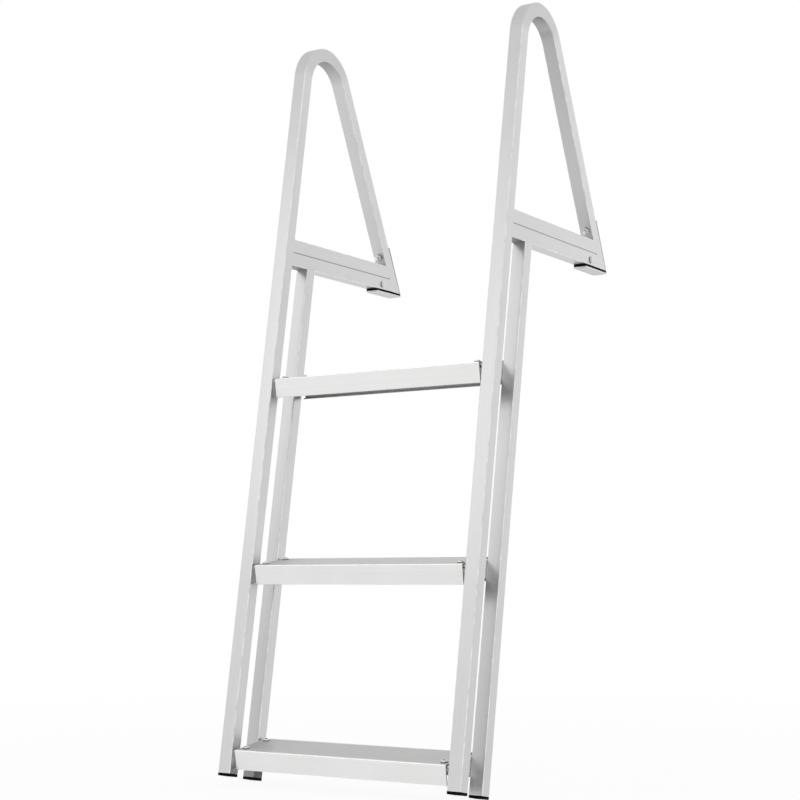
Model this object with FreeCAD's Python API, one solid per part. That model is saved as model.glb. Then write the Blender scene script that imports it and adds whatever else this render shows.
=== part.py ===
import FreeCAD
import Part

import math
import os

# Boarding ladder in aluminium: two side frames of square tube with hand loops,
# three treads, and on each side a level deck arm that ends in a bent deck plate.
# Millimetres. X runs across the ladder, +Y towards the deck, +Z up.
#
# Three frames are used, all with X measured from the left side frame's middle.
# The rail frame has y back and z up along the leaning rails, from the point
# where the top of the deck arm meets the back of the front rail.
# The level frame has the same origin, with u level and t upright.
# The model frame starts at the middle of the left deck plate's flat underside.

# Square tube
TUBE = 25.4
WALL = 2.0
TUBE_CORNER = 1.6

# Side frames: width over both, lean of the rails, gap between front and rear rail
WIDTH = 482.0
LEAN = math.radians(11.0)
RAIL_GAP = 51.1
FOOT_DROP = 1003.2

# Hand loop: centreline bend, angle between its legs, and its height at the corner
# that the outer faces would have without the bend
BEND_RADIUS = 72.0
LOOP_ANGLE = math.radians(37.2)
LOOP_APEX = 539.1

# Deck plate and the rubber pad over its foot
PLATE_THICK = 3.0
PLATE_FRONT = 300.0
PLATE_RISE = 38.0
PLATE_CORNER = 4.0
PAD_THICK = 4.0

# Treads: the bottom one's rise above the rail ends, then the steps between them
BOTTOM_TREAD_RISE = 40.9
MIDDLE_TREAD_STEP = 331.3
TOP_TREAD_STEP = 349.0
TREAD_TILT = math.radians(7.3)
TREAD_DEPTH = 100.0
TREAD_FRONT_SKIRT = 35.2
TREAD_REAR_SKIRT = 41.8
TREAD_TOP = 2.6
TREAD_WALL = 2.2
TREAD_LIP = 8.0
TREAD_EDGE = 1.4
TREAD_END_GAP = 5.6
RIB_PITCH = 5.0
RIB_GROOVE = 2.2
RIB_DEPTH = 0.8
RIB_MARGIN = 5.0

# Clips that carry the treads
CLIP_THICK = 3.0
CLIP_LENGTH = 32.0
CLIP_DROP = 30.0
CLIP_INSET = 3.0

# Tread bolts
STEP_BOLT = 6.0
STEP_FLANGE = 13.4
STEP_FLANGE_H = 1.0
STEP_HEAD = 10.8
STEP_HEAD_H = 4.0
STEP_NUT = 10.0
STEP_NUT_H = 5.0
BOLT_INSET_X = 11.9
BOLT_INSET_V = 18.0

# Bolt through the leg and the deck plate, and cross bolt through the deck arm
FRAME_BOLT = 8.0
LEG_HEAD = 13.0
LEG_HEAD_H = 5.3
LEG_NUT_H = 8.0
LEG_THREAD_END = 3.0
LEG_BOLT_RISE = 19.0
ARM_HEAD = 13.0
ARM_HEAD_H = 2.4
ARM_RIM = 1.1
ARM_BOLT_INSET = 36.0
ARM_BOLT_DROP = 15.0

# All bolts: play in their holes, thread past a tread bolt's nut, top of a round
# crown as a share of its foot, and the flats that stand for a small round
HOLE_PLAY = 0.2
THREAD_END = 1.5
HEAD_TAPER = 0.62
ROUND_FLAT_COUNT = 12
HEX_FLAT_COUNT = 6

# Foot caps
CAP_FLANGE = 4.8
CAP_PLUG = 12.0
CAP_PLAY = 0.1

# How far a drill runs past the faces that it goes through
OVERRUN = 2.0

# Derived dimensions
HALF = TUBE / 2.0
BORE = TUBE - 2.0 * WALL
SPAN = WIDTH - TUBE
SIDES = {"left": 0.0, "right": SPAN}
ARM_STACK = 2.0 * TUBE
FOOT_TOP = -ARM_STACK - PAD_THICK
FOOT_LOW = FOOT_TOP - PLATE_THICK
TURN = math.pi - LOOP_ANGLE
LEG_LEAN = LOOP_ANGLE - LEAN
LEG_TUBE = TUBE / math.cos(LEG_LEAN)
LEG_PLATE = PLATE_THICK / math.cos(LEG_LEAN)
BEND_Y = -HALF + BEND_RADIUS
BEND_Z = LOOP_APEX - BEND_RADIUS * math.tan(TURN / 2.0)
REACH = 2.0 * (FOOT_DROP + LOOP_APEX)
BOTTOM_TREAD = BOTTOM_TREAD_RISE - FOOT_DROP
MIDDLE_TREAD = BOTTOM_TREAD + MIDDLE_TREAD_STEP
TOP_TREAD = MIDDLE_TREAD + TOP_TREAD_STEP
TREAD_HEIGHTS = {"bottom": BOTTOM_TREAD, "middle": MIDDLE_TREAD, "top": TOP_TREAD}
CLIP_BOLT_X = TREAD_END_GAP + BOLT_INSET_X
BOLT_ROWS = (BOLT_INSET_V, TREAD_DEPTH - BOLT_INSET_V)


def vec(x, y, z):
    return FreeCAD.Vector(x, y, z)


ACROSS = vec(1, 0, 0)
UP = vec(0, 0, 1)


def moved(shape, x, y, z):
    result = shape.copy()
    result.translate(vec(x, y, z))
    return result


def turned(shape, angle):
    """Turn a shape about the X axis through the origin; angle in radians."""
    result = shape.copy()
    result.rotate(vec(0, 0, 0), ACROSS, math.degrees(angle))
    return result


def level_from_rail(y, z):
    """Rail-frame point as a level-frame point."""
    u = y * math.cos(LEAN) + z * math.sin(LEAN)
    t = -y * math.sin(LEAN) + z * math.cos(LEAN)
    return u, t


def leg_face_u(t):
    """Level-frame depth at height t of the face of the loop's leg that looks at the rail."""
    inner = BEND_RADIUS - HALF
    y = BEND_Y + inner * math.cos(LOOP_ANGLE)
    z = BEND_Z + inner * math.sin(LOOP_ANGLE)
    u, top = level_from_rail(y, z)
    return u + (top - t) * math.tan(LEG_LEAN)


def plate_middle():
    """Level-frame depth of the middle of the deck plate's flat underside."""
    bend_start = PLATE_CORNER / math.tan((math.pi / 2.0 - LEG_LEAN) / 2.0)
    flat_end = leg_face_u(FOOT_LOW) + LEG_TUBE + LEG_PLATE - bend_start
    return (PLATE_FRONT + flat_end) / 2.0


def to_model(shape):
    """Level frame to the model frame."""
    return moved(shape, 0, -plate_middle(), -FOOT_LOW)


def rail_to_model(shape):
    """Rail frame to the model frame."""
    return to_model(turned(shape, -LEAN))


def square(size):
    """Square face in the XY plane, centred on the origin."""
    h = size / 2.0
    corners = [vec(-h, -h, 0), vec(h, -h, 0), vec(h, h, 0), vec(-h, h, 0)]
    return Part.Face(Part.makePolygon(corners + corners[:1]))


def rounded_square(size, radius):
    """Square face with round corners in the XY plane, centred on the origin."""
    h = size / 2.0
    k = h - radius
    m = radius * math.sqrt(0.5)
    body = square(size)
    for sx in (-1, 1):
        for sy in (-1, 1):
            corner = vec(sx * h, sy * h, 0)
            start = vec(sx * h, sy * k, 0)
            end = vec(sx * k, sy * h, 0)
            middle = vec(sx * (k + m), sy * (k + m), 0)
            arc = Part.Arc(start, middle, end).toShape()
            loop = Part.Wire([arc, Part.makeLine(end, corner), Part.makeLine(corner, start)])
            body = body.cut(Part.Face(loop))
    return body.Faces[0]


def tube_section():
    """Cross-section of the square tube: round outer corners, square bore."""
    return rounded_square(TUBE, TUBE_CORNER).cut(square(BORE)).Faces[0]


def prism(points, x0, x1):
    """Solid with a polygon of (y, z) points, from x0 to x1."""
    loop = [vec(x0, y, z) for y, z in points]
    loop.append(loop[0])
    return Part.Face(Part.makePolygon(loop)).extrude(vec(x1 - x0, 0, 0))


def above(t):
    """Everything over height t, as a block larger than the ladder."""
    return Part.makeBox(REACH, REACH, REACH, vec(-REACH / 2, -REACH / 2, t))


def below(t):
    """Everything under height t, as a block larger than the ladder."""
    return above(t - REACH)


def flatted(radius, top_radius, flats, length, start, direction):
    """Bolt stock with flats: a regular prism or frustum that runs along direction."""
    rings = []
    for r, z in ((radius, 0.0), (top_radius, length)):
        steps = [2.0 * math.pi * i / flats for i in range(flats)]
        rings.append([vec(r * math.cos(a), r * math.sin(a), z) for a in steps])
    low, high = rings
    loops = [list(reversed(low)), high]
    for i in range(flats):
        j = (i + 1) % flats
        loops.append([low[i], low[j], high[j], high[i]])
    faces = [Part.Face(Part.makePolygon(loop + loop[:1])) for loop in loops]
    body = Part.Solid(Part.Shell(faces))
    body.Placement = FreeCAD.Placement(start, FreeCAD.Rotation(UP, direction))
    return body


def shank(diameter, length, start, direction):
    """Round shank of a bolt, or the drill for its hole."""
    return flatted(diameter / 2, diameter / 2, ROUND_FLAT_COUNT, length, start, direction)


def hexagon(across, length, start, direction):
    """Hexagon head or nut, sized across its flats."""
    corner = across / math.sqrt(3.0)
    return flatted(corner, corner, HEX_FLAT_COUNT, length, start, direction)


def round_head(rim_diameter, rim, diameter, height, start, direction):
    """Round head: a disc that seats at start, and on it a crown that tapers to the top."""
    disc = shank(rim_diameter, rim, start, direction)
    radius = diameter / 2
    crown = flatted(radius, radius * HEAD_TAPER, ROUND_FLAT_COUNT, height - rim,
                    start + direction * rim, direction)
    return disc.fuse(crown)


def drilled(body, diameter, start, direction, depth):
    """Body with a clearance hole for a bolt, from the face at start through depth."""
    length = depth + 2 * OVERRUN
    tool = shank(diameter + 2 * HOLE_PLAY, length, start - direction * OVERRUN, direction)
    return body.cut(tool)


def leg_bolt_line():
    """Level-frame point on the leg's front face, and the bolt's direction."""
    direction = vec(0, math.cos(LEG_LEAN), math.sin(LEG_LEAN))
    t = LEG_BOLT_RISE * math.cos(LEG_LEAN)
    return vec(0, leg_face_u(t), t), direction


def arm_bolt_start():
    """Level-frame point where the cross bolt enters the lower arm tube."""
    t = -TUBE - ARM_BOLT_DROP
    return vec(-HALF, leg_face_u(t) - ARM_BOLT_INSET, t)


def handrail():
    """One bent tube: front rail, bend, and the leg that slopes down to the deck pad."""
    start = moved(tube_section(), 0, -HALF, BEND_Z)
    straight = start.extrude(vec(0, 0, -FOOT_DROP - BEND_Z))
    centre = vec(0, BEND_Y, BEND_Z)
    bend = start.revolve(centre, ACROSS, -math.degrees(TURN))
    end = start.copy()
    end.rotate(centre, ACROSS, -math.degrees(TURN))
    down = vec(0, math.sin(LOOP_ANGLE), -math.cos(LOOP_ANGLE))
    leg = turned(end.extrude(down * (LOOP_APEX + ARM_STACK)), -LEAN).cut(below(-ARM_STACK))
    body = turned(straight.fuse(bend), -LEAN).fuse(leg).removeSplitter()
    front, direction = leg_bolt_line()
    return to_model(drilled(body, FRAME_BOLT, front, direction, TUBE))


def rear_rail():
    """Straight tube behind the front rail, up to the underside of the deck arm."""
    foot = moved(tube_section(), 0, RAIL_GAP + HALF, -FOOT_DROP)
    tube = turned(foot.extrude(vec(0, 0, FOOT_DROP + TUBE)), -LEAN)
    return to_model(tube.cut(above(-ARM_STACK)))


def arm_tube(index):
    """One of the two stacked tubes of the deck arm; index 0 is the upper one."""
    top = -index * TUBE
    low = top - TUBE
    section = tube_section()
    section.rotate(vec(0, 0, 0), ACROSS, -90)
    blank_length = leg_face_u(low) + 2 * TUBE
    blank = moved(section, 0, -TUBE, top - HALF).extrude(vec(0, blank_length, 0))
    slope = math.tan(LEAN)
    mitred = [(top * slope, top), (leg_face_u(top), top), (leg_face_u(low), low),
              (low * slope, low)]
    body = blank.common(prism(mitred, -TUBE, TUBE))
    if index == 1:
        body = drilled(body, FRAME_BOLT, arm_bolt_start(), ACROSS, TUBE)
    return to_model(body)


def deck_plate():
    """Bent plate: a foot under the arm and a strip up the back of the leg."""
    back_top = leg_face_u(PLATE_RISE) + LEG_TUBE
    normal = vec(0, math.cos(LEG_LEAN), math.sin(LEG_LEAN)) * PLATE_THICK
    heel = leg_face_u(FOOT_LOW) + LEG_TUBE + LEG_PLATE
    body = prism(
        [(PLATE_FRONT, FOOT_LOW), (PLATE_FRONT, FOOT_TOP),
         (leg_face_u(FOOT_TOP) + LEG_TUBE, FOOT_TOP), (back_top, PLATE_RISE),
         (back_top + normal.y, PLATE_RISE + normal.z), (heel, FOOT_LOW)],
        -HALF, HALF)
    edges = []
    for edge in body.Edges:
        ends = [vertex.Point for vertex in edge.Vertexes]
        if all(abs(p.y - heel) < OVERRUN and abs(p.z - FOOT_LOW) < OVERRUN for p in ends):
            edges.append(edge)
    body = body.makeFillet(PLATE_CORNER, edges)
    front, direction = leg_bolt_line()
    return to_model(drilled(body, FRAME_BOLT, front + direction * TUBE, direction, PLATE_THICK))


def deck_pad():
    """Rubber strip between the arm and the foot of the deck plate."""
    return to_model(prism(
        [(PLATE_FRONT, FOOT_TOP), (PLATE_FRONT, -ARM_STACK),
         (leg_face_u(-ARM_STACK) + LEG_TUBE, -ARM_STACK), (leg_face_u(FOOT_TOP) + LEG_TUBE, FOOT_TOP)],
        -HALF, HALF))


def foot_cap(y_centre):
    """Black plug in the foot of a rail, with a flange under it."""
    flange = rounded_square(TUBE, TUBE_CORNER).extrude(vec(0, 0, -CAP_FLANGE))
    side = BORE - 2 * CAP_PLAY
    plug = Part.makeBox(side, side, CAP_PLUG, vec(-side / 2, -side / 2, 0))
    return rail_to_model(moved(flange.fuse(plug), 0, y_centre, -FOOT_DROP))


def tread_to_model(shape, height):
    """Tread frame (y back, z up, from the front top edge) to the model frame."""
    u, t = level_from_rail(-TUBE, height)
    return to_model(moved(turned(shape, TREAD_TILT), 0, u, t))


def tread(height):
    """Ribbed channel with a front skirt, a deeper rear skirt and turned-in lips."""
    back = TREAD_DEPTH
    inner_back = back - TREAD_WALL
    lip_back = back - TREAD_LIP
    front_low = -TREAD_FRONT_SKIRT
    rear_low = -TREAD_REAR_SKIRT
    points = [(0, 0), (0, front_low), (TREAD_LIP, front_low),
              (TREAD_LIP, front_low + TREAD_WALL), (TREAD_WALL, front_low + TREAD_WALL),
              (TREAD_WALL, -TREAD_TOP), (inner_back, -TREAD_TOP),
              (inner_back, rear_low + TREAD_WALL), (lip_back, rear_low + TREAD_WALL),
              (lip_back, rear_low), (back, rear_low), (back, 0)]
    ribbed = back - 2 * RIB_MARGIN
    count = int((ribbed + RIB_PITCH - RIB_GROOVE) // RIB_PITCH)
    first = (back - (count - 1) * RIB_PITCH - RIB_GROOVE) / 2.0
    for i in reversed(range(count)):
        near = first + i * RIB_PITCH
        far = near + RIB_GROOVE
        points += [(far, 0), (far, -RIB_DEPTH), (near, -RIB_DEPTH), (near, 0)]
    body = prism(points, HALF + TREAD_END_GAP, SPAN - HALF - TREAD_END_GAP)
    corners = [(0, 0), (0, front_low), (back, rear_low), (back, 0)]
    edges = []
    for edge in body.Edges:
        ends = [vertex.Point for vertex in edge.Vertexes]
        for y, z in corners:
            if all(math.hypot(p.y - y, p.z - z) < TREAD_EDGE / 2 for p in ends):
                edges.append(edge)
    body = body.makeFillet(TREAD_EDGE, edges)
    for x in (HALF + CLIP_BOLT_X, SPAN - HALF - CLIP_BOLT_X):
        for row in BOLT_ROWS:
            body = drilled(body, STEP_BOLT, vec(x, row, -TREAD_TOP), UP, TREAD_TOP)
    return tread_to_model(body, height)


def clip(height, side):
    """Angle between a side frame and the underside of a tread's top."""
    low = -TREAD_TOP - CLIP_DROP
    shelf_low = -TREAD_TOP - CLIP_THICK
    back = TREAD_DEPTH - CLIP_INSET
    wall = prism([(CLIP_INSET, low), (CLIP_INSET, -TREAD_TOP), (back, -TREAD_TOP), (back, low)],
                 0, CLIP_THICK)
    shelf = Part.makeBox(CLIP_LENGTH, back - CLIP_INSET, CLIP_THICK,
                         vec(0, CLIP_INSET, shelf_low))
    body = wall.fuse(shelf).removeSplitter()
    for row in BOLT_ROWS:
        body = drilled(body, STEP_BOLT, vec(CLIP_BOLT_X, row, shelf_low), UP, CLIP_THICK)
    body = moved(body, HALF, 0, 0)
    if side == "right":
        body = body.mirror(vec(SPAN / 2, 0, 0), ACROSS)
    return tread_to_model(body, height)


def tread_bolts(height):
    """The four flanged round-headed bolts of a tread with their nuts."""
    under = -TREAD_TOP - CLIP_THICK
    length = STEP_NUT_H + THREAD_END - under
    solids = []
    for x in (HALF + CLIP_BOLT_X, SPAN - HALF - CLIP_BOLT_X):
        for row in BOLT_ROWS:
            head = round_head(STEP_FLANGE, STEP_FLANGE_H, STEP_HEAD, STEP_HEAD_H,
                              vec(x, row, 0), UP)
            stem = shank(STEP_BOLT, length, vec(x, row, -length), UP)
            nut = hexagon(STEP_NUT, STEP_NUT_H, vec(x, row, under - STEP_NUT_H), UP)
            solids.append(head.fuse([stem, nut]).removeSplitter())
    return tread_to_model(Part.makeCompound(solids), height)


def leg_bolt():
    """Bolt through the foot of the leg and the strip of the deck plate."""
    front, direction = leg_bolt_line()
    back = front + direction * (TUBE + PLATE_THICK)
    length = TUBE + PLATE_THICK + LEG_NUT_H + LEG_THREAD_END
    head = hexagon(LEG_HEAD, LEG_HEAD_H, back, direction)
    nut = hexagon(LEG_HEAD, LEG_NUT_H, front - direction * LEG_NUT_H, direction)
    stem = shank(FRAME_BOLT, length, back - direction * length, direction)
    return to_model(head.fuse([nut, stem]).removeSplitter())


def arm_bolt():
    """Cross bolt through the lower arm tube, with a low round head at each side."""
    start = arm_bolt_start()
    end = start + ACROSS * TUBE
    stem = shank(FRAME_BOLT, TUBE, start, ACROSS)
    heads = [round_head(ARM_HEAD, ARM_RIM, ARM_HEAD, ARM_HEAD_H, start, -ACROSS),
             round_head(ARM_HEAD, ARM_RIM, ARM_HEAD, ARM_HEAD_H, end, ACROSS)]
    return to_model(stem.fuse(heads).removeSplitter())


def write(name, shape):
    shape.exportStep(os.path.join("parts", name + ".step"))


def main():
    os.makedirs("parts", exist_ok=True)
    side_frame = {"handrail": handrail(), "rear_rail": rear_rail(),
                  "arm_upper": arm_tube(0), "arm_lower": arm_tube(1),
                  "deck_plate": deck_plate(), "deck_pad": deck_pad(),
                  "front_foot_cap": foot_cap(-HALF), "rear_foot_cap": foot_cap(RAIL_GAP + HALF),
                  "leg_bolt": leg_bolt(), "arm_bolt": arm_bolt()}
    for side, x in SIDES.items():
        for name, shape in side_frame.items():
            write(side + "_" + name, moved(shape, x, 0, 0))
    for name, height in TREAD_HEIGHTS.items():
        write(name + "_tread", tread(height))
        write(name + "_tread_bolts", tread_bolts(height))
        for side in SIDES:
            write(name + "_tread_" + side + "_clip", clip(height, side))


main()
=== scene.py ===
"""Boarding ladder in satin aluminium, finished over its fixed frame.

Two side frames of square tube carry three ribbed treads. Each frame has a hand loop
and a level deck arm that ends in a bent deck plate with a rubber pad.

Shapes are worked out in millimetres and written to meshes in metres. Three frames
are used, all with x measured from the middle of the left side frame:

* rail frame: y back and z up along the leaning rails, from the point where the top
  of the deck arm meets the back of the front rail;
* level frame: the same origin, with u level and t upright;
* model frame: the frame of the scene, from the middle of the left deck plate's
  flat underside.
"""

import logging
import math
from dataclasses import dataclass
from enum import Enum

import bpy
import numpy as np
from mathutils import Matrix, Vector


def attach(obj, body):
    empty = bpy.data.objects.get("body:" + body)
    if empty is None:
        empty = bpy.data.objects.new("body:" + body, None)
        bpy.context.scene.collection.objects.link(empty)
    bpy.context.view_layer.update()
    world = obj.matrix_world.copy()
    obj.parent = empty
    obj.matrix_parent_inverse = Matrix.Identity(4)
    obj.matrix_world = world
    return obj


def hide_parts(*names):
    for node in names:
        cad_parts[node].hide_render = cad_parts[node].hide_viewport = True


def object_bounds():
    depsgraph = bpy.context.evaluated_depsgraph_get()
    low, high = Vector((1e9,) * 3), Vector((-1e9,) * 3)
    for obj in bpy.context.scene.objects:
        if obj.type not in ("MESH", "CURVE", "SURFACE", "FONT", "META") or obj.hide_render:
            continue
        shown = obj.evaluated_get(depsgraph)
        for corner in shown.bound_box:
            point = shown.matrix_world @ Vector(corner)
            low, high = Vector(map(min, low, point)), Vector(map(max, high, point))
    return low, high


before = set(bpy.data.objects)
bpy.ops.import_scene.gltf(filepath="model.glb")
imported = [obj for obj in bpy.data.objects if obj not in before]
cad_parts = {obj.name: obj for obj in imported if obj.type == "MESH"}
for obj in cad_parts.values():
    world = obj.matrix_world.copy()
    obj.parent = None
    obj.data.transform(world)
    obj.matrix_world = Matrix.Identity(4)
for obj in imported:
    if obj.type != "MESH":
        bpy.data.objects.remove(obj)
CAD_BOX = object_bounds()

Array = np.ndarray
Socket = bpy.types.NodeSocket
Colour = tuple[float, float, float]

MM = 0.001
BODY = "root"
ACROSS = np.array([1.0, 0.0, 0.0])
# Levels of painted light and edge polishing; a plain face has 0.
POLISHED_AND_HIGHLIT = 1.0
PAINTED_SHADE = -1.0
DEEP_PAINTED_SHADE = -2.0
# Divisions of a tube's round corner.
CORNER_STEPS = 6
# Most values of a noise lie between these.
NOISE_SPREAD = (0.3, 0.7)
log = logging.getLogger("boarding_ladder")


class Side(Enum):
    """The two side frames."""

    LEFT = "left"
    RIGHT = "right"


class Tier(Enum):
    """The three treads."""

    BOTTOM = "bottom"
    MIDDLE = "middle"
    TOP = "top"


class Face(Enum):
    """The flat faces of a tube, each by the number of the corner that starts it.

    Corners are counted anticlockwise from the one at the right and the outside.
    """

    OUTER = 0
    LEFT = 1
    INNER = 2
    RIGHT = 3


class Closing(Enum):
    """How the first and last rows of a skin close."""

    RING = "the last row joins the first"
    CAPS = "a flat face fills each end"


class Grain(Enum):
    """What a metal's drawn grain follows."""

    TUBE = "the length of a tube, by its UV map"
    ACROSS = "the width of the ladder"
    UPRIGHT = "the height of the ladder"
    CLOUDY = "no direction"


@dataclass(frozen=True)
class Sizes:
    """Driving dimensions of the ladder, in millimetres and radians.

    Attributes:
        tube: width of the square tube.
        wall: thickness of its wall.
        corner: round of its outer corners.
        bore_corner: round of its inner corners.
        width: width over both side frames.
        lean: angle of the rails from upright.
        rail_gap: gap between the front and the rear rail.
        foot_drop: distance down the rails from the origin to their feet.
        bend_radius: radius of the hand loop's bend, to the middle of the tube.
        loop_angle: angle between the front rail and the loop's leg.
        loop_apex: height up the rails at which the middles of rail and leg would meet
            without the bend.
        plate_thick: thickness of the deck plate.
        plate_front: level distance from the origin to the plate's front end.
        plate_rise: height of the plate's strip above the top of the arm.
        plate_corner: outer round of the plate's bend.
        pad_thick: thickness of the rubber pad.
        tread_tilt: angle from level at which the treads rise towards the deck.
        tread_depth: depth of the treads from front to back.
        tread_end_gap: gap between the treads' ends and the side frames.
        bottom_rise: height of the bottom tread above the feet, along the rails.
        middle_step: distance up the rails from the bottom tread to the middle one.
        top_step: distance up the rails from the middle tread to the top one.
    """

    tube: float = 25.4
    wall: float = 2.0
    corner: float = 1.6
    bore_corner: float = 0.4
    width: float = 482.0
    lean: float = math.radians(11.0)
    rail_gap: float = 51.1
    foot_drop: float = 1003.2
    bend_radius: float = 72.0
    loop_angle: float = math.radians(37.2)
    loop_apex: float = 539.1
    plate_thick: float = 3.0
    plate_front: float = 300.0
    plate_rise: float = 38.0
    plate_corner: float = 4.0
    pad_thick: float = 4.0
    tread_tilt: float = math.radians(7.3)
    tread_depth: float = 100.0
    tread_end_gap: float = 5.6
    bottom_rise: float = 40.9
    middle_step: float = 331.3
    top_step: float = 349.0

    @property
    def half(self) -> float:
        """Half the tube's width."""
        return self.tube / 2

    @property
    def bore(self) -> float:
        """Width of the tube's bore."""
        return self.tube - 2 * self.wall

    @property
    def span(self) -> float:
        """Distance between the middles of the side frames."""
        return self.width - self.tube

    @property
    def leg_lean(self) -> float:
        """Angle of the loop's leg from upright."""
        return self.loop_angle - self.lean

    @property
    def arm_stack(self) -> float:
        """Height of the two arm tubes together."""
        return 2 * self.tube

    @property
    def foot_low(self) -> float:
        """Height of the deck plate's underside in the level frame."""
        return -self.arm_stack - self.pad_thick - self.plate_thick

    @property
    def turn(self) -> float:
        """Angle through which the hand loop bends."""
        return math.pi - self.loop_angle

    @property
    def bend_centre(self) -> Array:
        """Centre of the hand loop's bend in the rail frame."""
        y = self.bend_radius - self.half
        return np.array([y, self.loop_apex - self.bend_radius * math.tan(self.turn / 2)])

    @property
    def up_rail(self) -> Array:
        """Unit direction up the rails in the level frame."""
        return np.array([math.sin(self.lean), math.cos(self.lean)])

    @property
    def back_rail(self) -> Array:
        """Unit direction square to the rails and back, in the level frame."""
        return np.array([math.cos(self.lean), -math.sin(self.lean)])

    @property
    def down_leg(self) -> Array:
        """Unit direction down the loop's leg in the level frame."""
        return np.array([math.sin(self.leg_lean), -math.cos(self.leg_lean)])

    @property
    def back_leg(self) -> Array:
        """Unit direction square to the loop's leg and back, in the level frame."""
        return np.array([math.cos(self.leg_lean), math.sin(self.leg_lean)])

    def level(self, points: Array) -> Array:
        """Turn rail-frame points (y, z) into level-frame points (u, t)."""
        points = np.asarray(points, float)
        return points[..., :1] * self.back_rail + points[..., 1:] * self.up_rail

    def leg_face(self, t: float, back: bool = False) -> float:
        """Level-frame depth of a face of the loop's leg.

        Args:
            t: height in the level frame.
            back: True for the face that looks at the deck, False for the one that
                looks at the rails.

        Returns:
            The depth u of that face at that height.
        """
        turned = np.array([math.cos(self.loop_angle), math.sin(self.loop_angle)])
        u, top = self.level(self.bend_centre + (self.bend_radius - self.half) * turned)
        u += (top - t) * math.tan(self.leg_lean)
        return u + self.tube / math.cos(self.leg_lean) * back

    def plate_heel(self) -> float:
        """Level-frame depth of the corner where the deck plate's outer faces meet."""
        return self.leg_face(self.foot_low, True) + self.plate_thick / math.cos(self.leg_lean)

    def origin(self) -> Array:
        """Level-frame place of the model's origin.

        Returns:
            The (u, t) of the middle of the plate's flat underside.
        """
        bend_start = self.plate_corner / math.tan((math.pi / 2 - self.leg_lean) / 2)
        middle = (self.plate_front + self.plate_heel() - bend_start) / 2
        return np.array([middle, self.foot_low])

    def side_x(self, side: Side) -> float:
        """Middle of a side frame across the ladder."""
        return self.span if side is Side.RIGHT else 0.0

    def tread_height(self, tier: Tier) -> float:
        """Height of a tread's front top edge up the rails.

        Args:
            tier: which tread.

        Returns:
            Its z in the rail frame.
        """
        bottom = self.bottom_rise - self.foot_drop
        steps = {Tier.BOTTOM: 0.0, Tier.MIDDLE: self.middle_step,
                 Tier.TOP: self.middle_step + self.top_step}
        return bottom + steps[tier]


@dataclass(frozen=True)
class Axes:
    """A local frame: where two profile axes and the way along lie in the model.

    Attributes:
        origin: model point, in millimetres.
        first: direction of the profile's first coordinate.
        second: direction of the profile's second coordinate.
        along: direction that the profile is carried along.
    """

    origin: Array
    first: Array
    second: Array
    along: Array

    def place(self, profile: Array, way: Array) -> Array:
        """Carry a profile along the axes.

        Formula: point = origin + p1 * first + p2 * second + w * along.

        Args:
            profile: (..., 2) profile coordinates.
            way: (...) distances along, which broadcast against the profile.

        Returns:
            (..., 3) model points in millimetres.
        """
        way = np.asarray(way, float)[..., None]
        return (self.origin + profile[..., :1] * self.first + profile[..., 1:] * self.second
                + way * self.along)


def upright(direction: Array) -> Array:
    """Level-frame direction (u, t) as a model direction."""
    return np.array([0.0, direction[0], direction[1]])


def level_axes(sizes: Sizes, x: float = 0.0) -> Axes:
    """Profile in (u, t), carried across the ladder from x."""
    start = np.array([x, *-sizes.origin()])
    return Axes(start, upright([1.0, 0.0]), upright([0.0, 1.0]), ACROSS)


def tread_axes(sizes: Sizes, tier: Tier) -> Axes:
    """Profile in (v back, s up) of a tread, carried across the ladder.

    Args:
        sizes: dimensions of the ladder.
        tier: which tread.

    Returns:
        Axes that start at the tread's front top edge, in the middle of the left frame.
    """
    corner = sizes.level([-sizes.tube, sizes.tread_height(tier)]) - sizes.origin()
    tilt = sizes.tread_tilt
    back = upright([math.cos(tilt), math.sin(tilt)])
    up = upright([-math.sin(tilt), math.cos(tilt)])
    return Axes(np.array([0.0, *corner]), back, up, ACROSS)


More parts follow.
